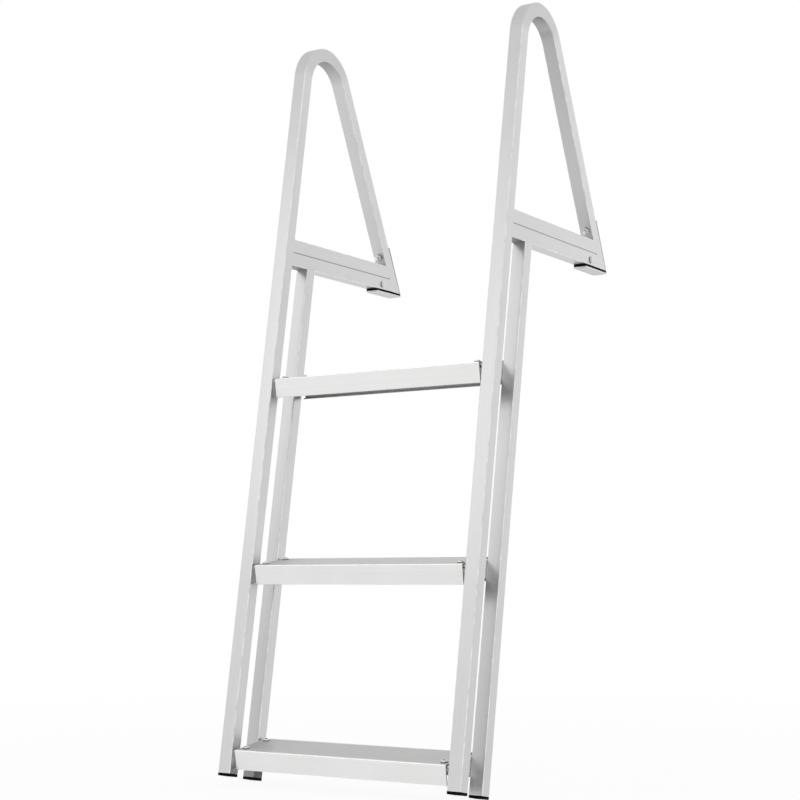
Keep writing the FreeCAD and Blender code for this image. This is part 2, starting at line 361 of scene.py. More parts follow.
@dataclass
class Skin:
    """A closed surface: a grid of points whose columns close on themselves.

    Attributes:
        points: (rows, columns, 3) model points in millimetres.
        closing: how the first and last rows close.
        painted_light_and_wear: (columns,), (rows, 1) or (rows, columns) levels, 1 on a
        polished edge with a painted highlight, 0 on a plain face, -1 in painted shade
        and -2 in deep painted shade.
    """

    points: Array
    closing: Closing = Closing.CAPS
    painted_light_and_wear: Array | None = None

    def lengths(self) -> tuple[Array, Array]:
        """Distances for the UV map, in metres.

        Returns:
            Those round the first row, and those along the first column.
        """
        first = np.concatenate([self.points[0], self.points[0, :1]])
        around = np.linalg.norm(np.diff(first, axis=0), axis=1)
        rows = np.concatenate([self.points[:, 0], self.points[:1, 0]])
        along = np.linalg.norm(np.diff(rows, axis=0), axis=1)
        return (np.concatenate([[0.0], np.cumsum(around)]) * MM,
                np.concatenate([[0.0], np.cumsum(along)]) * MM)

    def faces(self) -> tuple[list[list[int]], Array]:
        """Faces and their UV coordinates.

        Formula: the face at row i and column j joins the points (i, j), (i, j+1),
        (i+1, j+1) and (i+1, j), with columns and, on a ring, rows counted round.
        The faces are turned the other way if the volume that they hold is negative.

        Returns:
            The faces as lists of point numbers, and one (u, v) for each face corner.
        """
        rows, columns = self.points.shape[:2]
        ring = self.closing is Closing.RING
        i, j = np.meshgrid(np.arange(rows - (not ring)), np.arange(columns), indexing="ij")
        corners = [(i, j), (i, j + 1), (i + 1, j + 1), (i + 1, j)]
        quads = np.stack([(a % rows) * columns + b % columns for a, b in corners], -1)
        around, along = self.lengths()
        uv = np.stack([np.stack([around[b], along[a]], -1) for a, b in corners], -2)
        faces = quads.reshape(-1, 4).tolist()
        uv = uv.reshape(-1, 2)
        if not ring:
            low = np.arange(columns)[::-1]
            high = np.arange(columns) + (rows - 1) * columns
            faces += [low.tolist(), high.tolist()]
            flat = np.stack([around[:-1], np.zeros(columns)], -1)
            uv = np.concatenate([uv, flat[::-1], flat + [0.0, along[rows - 1]]])
        if self.volume(quads.reshape(-1, 4)) < 0:
            sizes = np.array([len(face) for face in faces])
            starts = np.cumsum(sizes) - sizes
            order = np.concatenate([np.arange(start + size - 1, start - 1, -1)
                                    for start, size in zip(starts, sizes)])
            uv = uv[order]
            faces = [face[::-1] for face in faces]
        return faces, uv

    def volume(self, quads: Array) -> float:
        """Signed volume held by the quads and the flat ends, in cubic millimetres.

        Formula: a sixth of the sum of a . (b x c) over the triangles, taken from the
        middle of the first row, so that the first end adds nothing; the last end is a
        fan about its own middle.

        Args:
            quads: (faces, 4) point numbers.

        Returns:
            The volume, negative where the faces look inwards.
        """
        flat = self.points.reshape(-1, 3) - self.points[0].mean(0)
        a, b, c, d = (flat[quads[:, k]] for k in range(4))
        total = np.einsum("ij,ij->", a, np.cross(b, c) + np.cross(c, d))
        if self.closing is Closing.CAPS:
            rim = self.points[-1] - self.points[0].mean(0)
            turned = np.cross(rim, np.roll(rim, -1, axis=0))
            total += np.einsum("ij,j->", turned, rim.mean(0))
        return float(total) / 6


def rounded_square(size: float, corner: float, steps: int = CORNER_STEPS) -> Array:
    """Outline of a square with round corners.

    Formula: corner k is an arc of the corner radius from k to k + 1 quarter turns,
    about a point that lies half the size less the radius out along both axes.

    Args:
        size: width over the flats.
        corner: corner radius.
        steps: divisions of each corner.

    Returns:
        (4 * (steps + 1), 2) points, anticlockwise.
    """
    quarter = np.arange(4)[:, None]
    angle = (quarter + np.linspace(0, 1, steps + 1)) * math.pi / 2
    centre = math.sqrt(2) * (size / 2 - corner) * np.stack(
        [np.cos((quarter + 0.5) * math.pi / 2), np.sin((quarter + 0.5) * math.pi / 2)], -1)
    arc = corner * np.stack([np.cos(angle), np.sin(angle)], -1)
    return (centre + arc).reshape(-1, 2)


def corner_polish_and_highlight(steps: int = CORNER_STEPS) -> Array:
    """Edge polishing and a painted highlight round one corner: 1 in its middle, 0 at its ends.
    """
    return np.sin(np.linspace(0, 1, steps + 1) * math.pi)


def polished_and_highlit_corners(stations: int) -> Array:
    """Highlit polished corners of a tube, as (stations, 4, points of a corner)."""
    return np.tile(corner_polish_and_highlight(), (stations, 4, 1))


def shade_face(painted_light_and_wear: Array, face: Face, level: Array | float) -> None:
    """Write the painted shade of a tube's flat face, on the ends of its two corners."""
    painted_light_and_wear[:, face.value, -1] = level
    painted_light_and_wear[:, (face.value + 1) % 4, 0] = level


def rounded_outline(points: Array, radii: Array | float, steps: int = 3) -> Array:
    """Outline of a polygon whose corners are arcs.

    Formula: with a and b the unit directions from a corner to its neighbours and h
    half the angle between them, the arc's centre is r / sin(h) along the bisector,
    and the arc turns about it from r / tan(h) along a to r / tan(h) along b.

    Args:
        points: (n, 2) corners in order.
        radii: corner radius, one for all or one for each.
        steps: divisions of each arc.

    Returns:
        (n * (steps + 1), 2) points in the same order.
    """
    points = np.asarray(points, float)
    radii = np.broadcast_to(np.asarray(radii, float), len(points))[:, None]
    a = np.roll(points, 1, axis=0) - points
    b = np.roll(points, -1, axis=0) - points
    a /= np.linalg.norm(a, axis=1, keepdims=True)
    b /= np.linalg.norm(b, axis=1, keepdims=True)
    half = np.arccos(np.clip((a * b).sum(1), -1, 1))[:, None] / 2
    bisector = (a + b) / np.linalg.norm(a + b, axis=1, keepdims=True)
    centre = points + bisector * radii / np.sin(half)
    start = points + a * radii / np.tan(half) - centre
    way = np.sign(a[:, :1] * b[:, 1:] - a[:, 1:] * b[:, :1])
    angle = -way * (math.pi - 2 * half) * np.linspace(0, 1, steps + 1)
    cos, sin = np.cos(angle), np.sin(angle)
    x = start[:, :1] * cos - start[:, 1:] * sin
    y = start[:, :1] * sin + start[:, 1:] * cos
    return (centre[:, None] + np.stack([x, y], -1)).reshape(-1, 2)


def extruded(profile: Array, axes: Axes, start: float, end: float) -> Skin:
    """Prism: a closed profile carried in a straight line from start to end."""
    return Skin(axes.place(profile, np.array([[start], [end]])))


def sawn_rows(start: float, end: float, margin: float) -> tuple[Array, Array]:
    """Rows of a piece with cut ends: both ends, and a row a margin in from each.

    Args:
        start: place of the first end.
        end: place of the other end.
        margin: width over which the painted shade at the ends fades.

    Returns:
        (4, 1) places of the rows, and 1 for those at an end and 0 for the others.
    """
    way = np.array([start, start + margin, end - margin, end])
    return way[:, None], np.array([1.0, 0.0, 0.0, 1.0])[:, None]


def revolved(radii: Array, heights: Array, axes: Axes, columns: int, painted_light_and_wear: Array) -> Skin:
    """Turned solid: circles, or outlines given by angle, stacked along an axis.

    Formula: point = radius(row, angle) * (cos angle, sin angle) at height(row).

    Args:
        radii: (rows,) or (rows, columns) radii.
        heights: (rows,) heights along the axis.
        axes: frame whose along direction is the axis.
        columns: divisions of a full turn.
        painted_light_and_wear: the skin's painted light.

    Returns:
        The skin, with a flat face at each end.
    """
    angle = np.arange(columns) * 2 * math.pi / columns
    radii = np.broadcast_to(np.reshape(radii, (len(heights), -1)), (len(heights), columns))
    profile = radii[..., None] * np.stack([np.cos(angle), np.sin(angle)], -1)
    return Skin(axes.place(profile, np.reshape(heights, (-1, 1))), painted_light_and_wear=painted_light_and_wear)


def hexagon_radius(across: float, columns: int) -> Array:
    """Radius by angle of a hexagon sized across its flats.

    Formula: half the size over the cosine of the angle from the nearest flat's middle.

    Args:
        across: size across the flats.
        columns: divisions of a full turn.

    Returns:
        (columns,) radii.
    """
    angle = np.arange(columns) * 2 * math.pi / columns
    sixth = math.pi / 3
    return across / 2 / np.cos((angle + sixth / 2) % sixth - sixth / 2)


@dataclass(frozen=True)
class Station:
    """One section of a bent tube, in the level frame.

    Attributes:
        centre: (u, t) of the tube's centreline.
        way: unit direction along the tube.
        face: direction square to the plane of the section.
    """

    centre: Array
    way: Array
    face: Array


def swept_tube(sizes: Sizes, stations: list[Station], x: float, painted_light_and_wear: Array) -> Skin:
    """Hollow square tube through the stations.

    Formula: a section point is centre + a * across + b * out, with out square to the
    way along, slid along the tube on to the plane of the section. The outer sections
    run forwards and the bore's run back, so that the rows form a closed ring.

    Args:
        sizes: dimensions of the ladder.
        stations: sections in order.
        x: middle of the tube across the ladder.
        painted_light_and_wear: (stations, 4, points) painted light of the outside, corner by
            corner.

    Returns:
        The skin of the tube, outside and bore.
    """
    centre = np.array([s.centre for s in stations])[:, None]
    way = np.array([s.way for s in stations])[:, None]
    face = np.array([s.face for s in stations])[:, None]
    out = np.stack([-way[..., 1], way[..., 0]], -1)
    sections = []
    for outline in (rounded_square(sizes.tube, sizes.corner),
                    rounded_square(sizes.bore, sizes.bore_corner)):
        offset = outline[None, :, 1:] * out
        slide = (offset * face).sum(-1, keepdims=True) / (way * face).sum(-1, keepdims=True)
        place = centre + offset - slide * way - sizes.origin()
        across = np.broadcast_to(outline[None, :, :1] + x, place.shape[:2] + (1,))
        sections.append(np.concatenate([across, place], -1))
    rows = np.concatenate([sections[0], sections[1][::-1]])
    outside = painted_light_and_wear.reshape(len(stations), -1)
    return Skin(rows, Closing.RING, np.concatenate([outside, np.zeros_like(outside)]))


class NodeBoard:
    """The node tree of a material or a world, with short ways to add and join nodes."""

    def __init__(self, owner: bpy.types.ID) -> None:
        """Clear the owner's node tree.

        Args:
            owner: material or world.
        """
        owner.use_nodes = True
        self.owner = owner
        self.tree = owner.node_tree
        self.tree.nodes.clear()

    def add(self, kind: str, inputs: dict | None = None, **settings: object) -> bpy.types.Node:
        """Add a node.

        Args:
            kind: the node's type, without its ShaderNode prefix.
            inputs: socket name or number to a value, or to another node's output to join.
            settings: attributes of the node.

        Returns:
            The node.
        """
        node = self.tree.nodes.new("ShaderNode" + kind)
        for key, value in settings.items():
            setattr(node, key, value)
        for key, value in (inputs or {}).items():
            if isinstance(value, bpy.types.NodeSocket):
                self.tree.links.new(value, node.inputs[key])
            else:
                node.inputs[key].default_value = value
        return node

    def noise(self, vector: Socket, scale: float, detail: float = 3.0,
              roughness: float = 0.5) -> Socket:
        """Noise between 0 and 1 over a vector, with scale cells to a unit of it."""
        node = self.add("TexNoise", {"Vector": vector, "Scale": scale, "Detail": detail,
                                     "Roughness": roughness})
        return node.outputs["Fac"]

    def ranged(self, value: Socket, low: float, high: float,
               spread: tuple[float, float] = NOISE_SPREAD) -> Socket:
        """Low to high as the value runs over the spread, and held beyond it."""
        node = self.add("MapRange", {"Value": value, "From Min": spread[0],
                                     "From Max": spread[1], "To Min": low, "To Max": high})
        return node.outputs["Result"]

    def math(self, operation: str, first: Socket, second: Socket) -> Socket:
        """Result of an operation on two values."""
        return self.add("Math", {0: first, 1: second}, operation=operation).outputs[0]

    def sum(self, *values: Socket) -> Socket:
        """Sum of several values.

        Args:
            values: the values, two or more.

        Returns:
            The sum.
        """
        total = values[0]
        for value in values[1:]:
            total = self.math("ADD", total, value)
        return total

    def tinted(self, colour: Colour, amount: Socket) -> Socket:
        """Colour times an amount."""
        node = self.add("VectorMath", {0: colour, "Scale": amount}, operation="SCALE")
        return node.outputs["Vector"]

    def finish(self, shader: bpy.types.Node, output: str = "OutputMaterial") -> bpy.types.ID:
        """Join the shader to the tree's output and return the material or the world."""
        self.add(output, {"Surface": shader.outputs[0]})
        return self.owner


@dataclass(frozen=True)
class Metal:
    """Metal with drawn grain, clouding, painted highlights on polished edges and painted shade.

    Attributes:
        name: name of the finish.
        slot: name of the material slot; not used.
        colour: reflectance.
        roughness: mean roughness.
        grain: what the grain follows.
        grain_depth: height of the grain, in metres.
        cloud: share by which broad clouding lightens or darkens the metal.
        streak: share by which the drawn streaks do.
        polish_and_highlight: share of the reflectance gained on polished edges, as a
            painted highlight.
        shade_depth: share of it that is lost in painted shade, and twice that in deep
            painted shade.
    """

    name: str
    slot: str
    colour: Colour
    roughness: float
    grain: Grain
    grain_depth: float = 0.00002
    cloud: float = 0.03
    streak: float = 0.03
    polish_and_highlight: float = 0.32
    shade_depth: float = 0.45

    # Noise cells in a metre: fine grain, bands, broad clouds, and breaks in the painted
    # highlight.
    FINE = 2600.0
    BAND = 210.0
    CLOUD = 9.0
    HIGHLIGHT_BREAK = 55.0
    # Scale of the noise along the grain, and all ways where there is no grain.
    STRETCH = 0.004
    EVEN = 0.4
    # Share of the painted highlight that its brightest places between the breaks take.
    HIGHLIGHT_PEAK = 1.6
    # Changes of the roughness by bands and clouds, in painted shade and on polished edges.
    ROUGH_BAND = 0.05
    ROUGH_CLOUD = 0.03
    ROUGH_DULL = 0.06
    ROUGH_POLISHED = -0.1
    # Height of the bands over that of the fine grain.
    BAND_HEIGHT = 0.8

    def coordinates(self, board: NodeBoard) -> tuple[Socket, Socket]:
        """Coordinates for the noise.

        Args:
            board: node tree of the material.

        Returns:
            The vector of the grain, squeezed along its way, and the plain one.
        """
        source = board.add("TexCoord").outputs
        plain = source["Object"]
        vector, scale = {
            Grain.TUBE: (source["UV"], (1.0, self.STRETCH, 1.0)),
            Grain.ACROSS: (plain, (self.STRETCH, 1.0, 1.0)),
            Grain.UPRIGHT: (plain, (1.0, 1.0, self.STRETCH)),
            Grain.CLOUDY: (plain, (self.EVEN, self.EVEN, self.EVEN))}[self.grain]
        squeezed = board.add("Mapping", {"Vector": vector, "Scale": scale})
        return squeezed.outputs["Vector"], plain

    def material(self) -> bpy.types.Material:
        """Build the finish's material, or find it where it is built already.

        Returns:
            The material.
        """
        if self.name in bpy.data.materials:
            return bpy.data.materials[self.name]
        board = NodeBoard(bpy.data.materials.new(self.name))
        grain, plain = self.coordinates(board)
        fine = board.noise(grain, self.FINE, detail=2.0)
        band = board.noise(grain, self.BAND)
        cloud = board.noise(plain, self.CLOUD, detail=4.0, roughness=0.55)
        painted_light_and_wear = board.add("Attribute", attribute_name="painted_light_and_wear").outputs["Fac"]
        # Painted light: polished edges get a painted highlight broken up by noise, and levels
        # below zero take colour away as painted shade.
        painted_highlight = board.ranged(painted_light_and_wear, 0.0, self.polish_and_highlight, (0.0, POLISHED_AND_HIGHLIT))
        highlight_breaks = board.ranged(board.noise(plain, self.HIGHLIGHT_BREAK), 0.0, self.HIGHLIGHT_PEAK)
        light = board.sum(board.ranged(cloud, 1 - self.cloud, 1 + self.cloud),
                          board.ranged(band, -self.streak, self.streak),
                          board.math("MULTIPLY", painted_highlight, highlight_breaks),
                          board.ranged(painted_light_and_wear, DEEP_PAINTED_SHADE * self.shade_depth, 0.0, (DEEP_PAINTED_SHADE, 0.0)))
        low, high = self.roughness - self.ROUGH_BAND, self.roughness + self.ROUGH_BAND
        rough = board.sum(
            board.ranged(band, low, high),
            board.ranged(cloud, -self.ROUGH_CLOUD, self.ROUGH_CLOUD),
            board.ranged(painted_light_and_wear, self.ROUGH_DULL, self.ROUGH_POLISHED, (PAINTED_SHADE, POLISHED_AND_HIGHLIT)))
        height = board.sum(board.ranged(fine, 0.0, 1.0),
                           board.ranged(band, 0.0, self.BAND_HEIGHT))
        bump = board.add("Bump", {"Height": height, "Distance": self.grain_depth,
                                  "Strength": 1.0})
        shader = board.add("BsdfPrincipled", {
            "Base Color": board.tinted(self.colour, light), "Roughness": rough,
            "Metallic": 1.0, "Normal": bump.outputs["Normal"]})
        return board.finish(shader)


@dataclass(frozen=True)
class Polymer:
    """Black rubber or plastic with a fine moulded skin.

    Attributes:
        name: name of the finish.
        slot: name of the material slot; not used.
        colour: diffuse colour.
        roughness: mean roughness.
        pebble: size of the moulded texture, as noise cells in a metre.
        gloss: specular level.
    """

    name: str
    slot: str
    colour: Colour
    roughness: float
    pebble: float
    gloss: float

    # Noise cells of the dust in a metre, and the shares of the colour that it leaves.
    DUST = 60.0
    DUST_LOW = 0.8
    DUST_HIGH = 1.5
    # Depth of the moulded skin in metres, its strength and its change of the roughness.
    SKIN_DEPTH = 0.00008
    SKIN_STRENGTH = 0.8
    SKIN_ROUGH = 0.08

    def material(self) -> bpy.types.Material:
        """Build the finish's material, or find it where it is built already.

        Returns:
            The material.
        """
        if self.name in bpy.data.materials:
            return bpy.data.materials[self.name]
        board = NodeBoard(bpy.data.materials.new(self.name))
        plain = board.add("TexCoord").outputs["Object"]
        pebble = board.noise(plain, self.pebble)
        dust = board.ranged(board.noise(plain, self.DUST, detail=4.0),
                            self.DUST_LOW, self.DUST_HIGH)
        bump = board.add("Bump", {"Height": pebble, "Distance": self.SKIN_DEPTH,
                                  "Strength": self.SKIN_STRENGTH})
        low, high = self.roughness - self.SKIN_ROUGH, self.roughness + self.SKIN_ROUGH
        shader = board.add("BsdfPrincipled", {
            "Base Color": board.tinted(self.colour, dust),
            "Roughness": board.ranged(pebble, low, high),
            "Specular IOR Level": self.gloss, "Normal": bump.outputs["Normal"]})
        return board.finish(shader)


Finish = Metal | Polymer

ALUMINIUM = (0.62, 0.62, 0.628)
BLACK = (0.004, 0.004, 0.004)
STEEL_GRAIN = 0.00001
# Share of the reflectance that painted shade takes from the clips and bolts.
DEEP_SHADE_SHARE = 0.85

TUBE_METAL = Metal("drawn_aluminium", "aluminium", ALUMINIUM, 0.36, Grain.TUBE)
PLATE_METAL = Metal("plate_aluminium", "aluminium", ALUMINIUM, 0.40, Grain.UPRIGHT)
WELD_METAL = Metal("ground_aluminium", "aluminium", ALUMINIUM, 0.40, Grain.CLOUDY)
# The clips' aluminium is lighter than the tubes': painted light that brightens their reflection
# in the rear rails beside the treads.
LIT_CLIP_METAL = Metal("clip_aluminium", "aluminium", (0.86, 0.86, 0.865), 0.42, Grain.ACROSS,
                   shade_depth=DEEP_SHADE_SHARE)
TREAD_METAL = Metal("ribbed_aluminium", "tread_aluminium", (0.80, 0.80, 0.795), 0.38,
                    Grain.ACROSS, shade_depth=0.56)
BOLT_METAL = Metal("bright_steel", "bolt_steel", (0.70, 0.70, 0.71), 0.17, Grain.CLOUDY,
                   STEEL_GRAIN, shade_depth=DEEP_SHADE_SHARE)
# The arm bolts' steel is darker than the other bolts': painted shade that takes the rim lamp's
# reflection out of their heads.
SHADED_RIVET_METAL = Metal("plated_steel", "bolt_steel", (0.58, 0.58, 0.59), 0.40, Grain.CLOUDY,
                    STEEL_GRAIN, shade_depth=DEEP_SHADE_SHARE)
PAD_RUBBER = Polymer("pad_rubber", "rubber", BLACK, 0.75, 900.0, 0.04)
CAP_PLASTIC = Polymer("moulded_plastic", "cap_plastic", BLACK, 0.6, 1400.0, 0.03)


@dataclass
class Piece:
    """One visible piece of the ladder.

    Attributes:
        name: name of its object.
        skins: closed surfaces that make it up.
        finish: its finish.
        nodes: the frame's nodes that it stands for.
        bevel: width of the edge round, in millimetres, or 0 for none.
    """

    name: str
    skins: list[Skin]
    finish: Finish
    nodes: tuple[str, ...]
    bevel: float = 0.0

    # Least angles of an edge that is shaded sharp, and of one that gets the edge round.
    SHARP = math.radians(35)
    ROUNDED = math.radians(50)
    SEGMENTS = 2

    def make(self) -> bpy.types.Object:
        """Write the mesh, dress it and tie it to the frame.

        Returns:
            The finished object.
        """
        mesh = bpy.data.meshes.new(self.name)
        points, faces, uv, painted_light_and_wear = [], [], [], []
        count = 0
        for skin in self.skins:
            rows, columns = skin.points.shape[:2]
            own_faces, own_uv = skin.faces()
            faces += [[k + count for k in face] for face in own_faces]
            points.append(skin.points.reshape(-1, 3) * MM)
            uv.append(own_uv)
            # Painted light: each point's level of painted highlight or painted shade.
            own_light_and_wear = 0.0 if skin.painted_light_and_wear is None else skin.painted_light_and_wear
            painted_light_and_wear.append(np.broadcast_to(own_light_and_wear, (rows, columns)).ravel())
            count += rows * columns
        mesh.from_pydata(np.concatenate(points).tolist(), [], faces)
        layer = mesh.uv_layers.new(name="UVMap")
        layer.data.foreach_set("uv", np.concatenate(uv).astype(np.float32).ravel())
        attribute = mesh.attributes.new("painted_light_and_wear", "FLOAT", "POINT")
        attribute.data.foreach_set("value", np.concatenate(painted_light_and_wear).astype(np.float32))
        mesh.polygons.foreach_set("use_smooth", np.ones(len(faces), bool))
        mesh.set_sharp_from_angle(angle=self.SHARP)
        mesh.validate()
        obj = bpy.data.objects.new(self.name, mesh)
        bpy.context.scene.collection.objects.link(obj)
        if self.bevel:
            edge = obj.modifiers.new("edge_round", "BEVEL")
            edge.width = self.bevel * MM
            edge.segments = self.SEGMENTS
            edge.limit_method = "ANGLE"
            edge.angle_limit = self.ROUNDED
            edge.use_clamp_overlap = True
        shading = obj.modifiers.new("flat_faces", "WEIGHTED_NORMAL")
        shading.keep_sharp = not self.bevel
        mesh.materials.append(self.finish.material())
        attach(obj, BODY)
        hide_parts(*self.nodes)
        return obj


@dataclass(frozen=True)
class HandRail:
    """Front rail and hand loop, one tube bent over at the top.

    Attributes:
        sizes: dimensions of the ladder.
        bend_steps: divisions of the bend.
        fade: share of the bend over which its painted shade grows from either end.
        onset: how many times sooner the corners and the side faces reach full painted shade.
        corner_shade: share of their painted highlight that the corners lose in the bend;
            beyond 1 it leaves them in painted shade.
        outside_shade: painted shade of the outside in the middle of the bend.
        shade: painted shade of the outside at the ends of the bend.
        shade_reach: distance below the bend's centre at which that shade runs out.
        side_shade: painted shade of the side faces in the bend.
        leg_shade: painted shade of the right leg's front face under the bend.
        leg_clear: share of the leg over which that face clears.
        foot_shadow: painted shadow on the left rail's right face at its foot.
        shadow_heights: the foot, the top of that shadow, and where it has faded out.
    """

    sizes: Sizes
    bend_steps: int = 56
    fade: float = 0.45
    onset: float = 4.0
    corner_shade: float = 1.25
    outside_shade: float = 0.6
    shade: float = 0.15
    shade_reach: float = 220.0
    side_shade: float = 0.2
    leg_shade: float = 0.5
    leg_clear: float = 0.65
    foot_shadow: float = 1.3
    shadow_heights: tuple[float, float, float] = (0.0, 7.0, 24.0)

    # Sections down the leg, after the bend.
    LEG_ROWS = 2

    def stations(self) -> list[Station]:
        """Sections from the foot of the rail, round the bend, to the foot of the leg.

        Formula: a section of the bend lies the bend's radius from its centre, a share
        of the turn round from the front.

        Returns:
            The sections in order.
        """
        s = self.sizes
        foot = s.level([-s.half, -s.foot_drop])
        stations = [Station(foot + height * s.up_rail, s.up_rail, s.up_rail)
                    for height in self.shadow_heights]
        centre = s.bend_centre
        shaded = s.level([-s.half, centre[1] - self.shade_reach])
        stations.append(Station(shaded, s.up_rail, s.up_rail))
        for angle in np.linspace(0, s.turn, self.bend_steps + 1):
            out = np.array([-math.cos(angle), math.sin(angle)])
            way = s.level([math.sin(angle), math.cos(angle)])
            stations.append(Station(s.level(centre + s.bend_radius * out), way, way))
        start = stations[-1].centre
        end = np.array([s.leg_face(-s.arm_stack) + s.half / math.cos(s.leg_lean), -s.arm_stack])
        clear = start + self.leg_clear * (end - start)
        return stations + [Station(clear, s.down_leg, s.down_leg),
                           Station(end, s.down_leg, np.array([0.0, -1.0]))]

    def painted_light_and_wear(self, side: Side) -> Array:
        """Painted light of the outside at each station.

        Formula: a tent over the bend, flat in its middle, takes the painted highlight from
        the corners and leaves them in painted shade, puts the inside of the bend fully in
        painted shade, and its outside and its side faces a little. The right leg's front
        face stays in painted shade under the bend and clears further down. The left rail
        has a painted shadow on its right face, beside the bottom tread and under it.

        Args:
            side: side frame.

        Returns:
            (stations, 4, points) painted light of the corners.
        """
        u = np.linspace(0, 1, self.bend_steps + 1)
        tent = np.clip(np.minimum(u, 1 - u) / self.fade, 0, 1)
        straight = len(self.shadow_heights) + 1
        tent = np.concatenate([np.zeros(straight), tent, np.zeros(self.LEG_ROWS)])
        full = np.minimum(self.onset * tent, 1)
        # Painted highlight on the corners, which turns to painted shade over the bend.
        painted_light_and_wear = polished_and_highlit_corners(len(tent)) * (1 - self.corner_shade * full[:, None, None])
        inside = tent.copy()
        if side is Side.RIGHT:
            late = slice(straight + self.bend_steps // 2, -self.LEG_ROWS)
            inside[late] = np.maximum(tent[late], self.leg_shade)
        outside = self.shade + (self.outside_shade - self.shade) * tent
        outside[:straight] = 0
        outside[-self.LEG_ROWS:] = 0
        # Painted shade on the bend's inside, outside and side faces, and down the right leg's
        # front.
        shade_face(painted_light_and_wear, Face.INNER, -inside)
        shade_face(painted_light_and_wear, Face.OUTER, -outside)
        shade_face(painted_light_and_wear, Face.LEFT, -self.side_shade * full)
        shade_face(painted_light_and_wear, Face.RIGHT, -self.side_shade * full)
        # Painted shadow at the left rail's foot, beside and under the bottom tread.
        if side is Side.LEFT:
            shade_face(painted_light_and_wear[:2], Face.RIGHT, -self.foot_shadow)
        return painted_light_and_wear

    def pieces(self, side: Side) -> list[Piece]:
        """The handrail of one side.

        Args:
            side: side frame.

        Returns:
            One piece.
        """
        tube = swept_tube(self.sizes, self.stations(), self.sizes.side_x(side), self.painted_light_and_wear(side))
        name = side.value + "_handrail"
        return [Piece(name, [tube], TUBE_METAL, (name,))]


@dataclass(frozen=True)
class RearRail:
    """Straight tube behind the front rail, up to the underside of the deck arm.

    Its front face, in the front rail's shade, carries painted shade that grows down to the
    bottom tread. The left foot carries a painted shadow under that tread, on its front and
    on its right face.

    Attributes:
        sizes: dimensions of the ladder.
        foot_shade: painted shade of the front face at the bottom tread.
        shade_height: height of that place above the foot.
        shadow_height: height of the painted shadow above the foot.
        front_shadow: depth of the painted shadow on the front face.
        side_shadow: depth of the painted shadow on the right face.
    """

    sizes: Sizes
    foot_shade: float = 0.35
    shade_height: float = 60.0
    shadow_height: float = 10.0
    front_shadow: float = 1.25
    side_shadow: float = 1.85

    def pieces(self, side: Side) -> list[Piece]:
        """The rear rail of one side.

        Args:
            side: side frame.

        Returns:
            One piece.
        """
        s = self.sizes
        foot = s.level([s.rail_gap + s.half, -s.foot_drop])
        rise = (-s.arm_stack - foot[1]) / s.up_rail[1]
        stations = [Station(foot + height * s.up_rail, s.up_rail, s.up_rail)
                    for height in (0.0, self.shadow_height, self.shade_height)]
        stations.append(Station(foot + rise * s.up_rail, s.up_rail, np.array([0.0, 1.0])))
        painted_light_and_wear = polished_and_highlit_corners(len(stations))
        # Painted shade down the front face, deepest at the bottom tread.
        shade_face(painted_light_and_wear, Face.OUTER, [0.0, 0.0, -self.foot_shade, 0.0])
        # Painted shadow at the left foot, under the bottom tread.
        if side is Side.LEFT:
            painted_light_and_wear[:2, 0] = np.linspace(-self.side_shadow, -self.front_shadow, painted_light_and_wear.shape[2])
            shade_face(painted_light_and_wear[:2], Face.RIGHT, -self.side_shadow)
            shade_face(painted_light_and_wear[:2], Face.OUTER, -self.front_shadow)
        tube = swept_tube(s, stations, s.side_x(side), painted_light_and_wear)
        name = side.value + "_rear_rail"
        return [Piece(name, [tube], TUBE_METAL, (name,))]


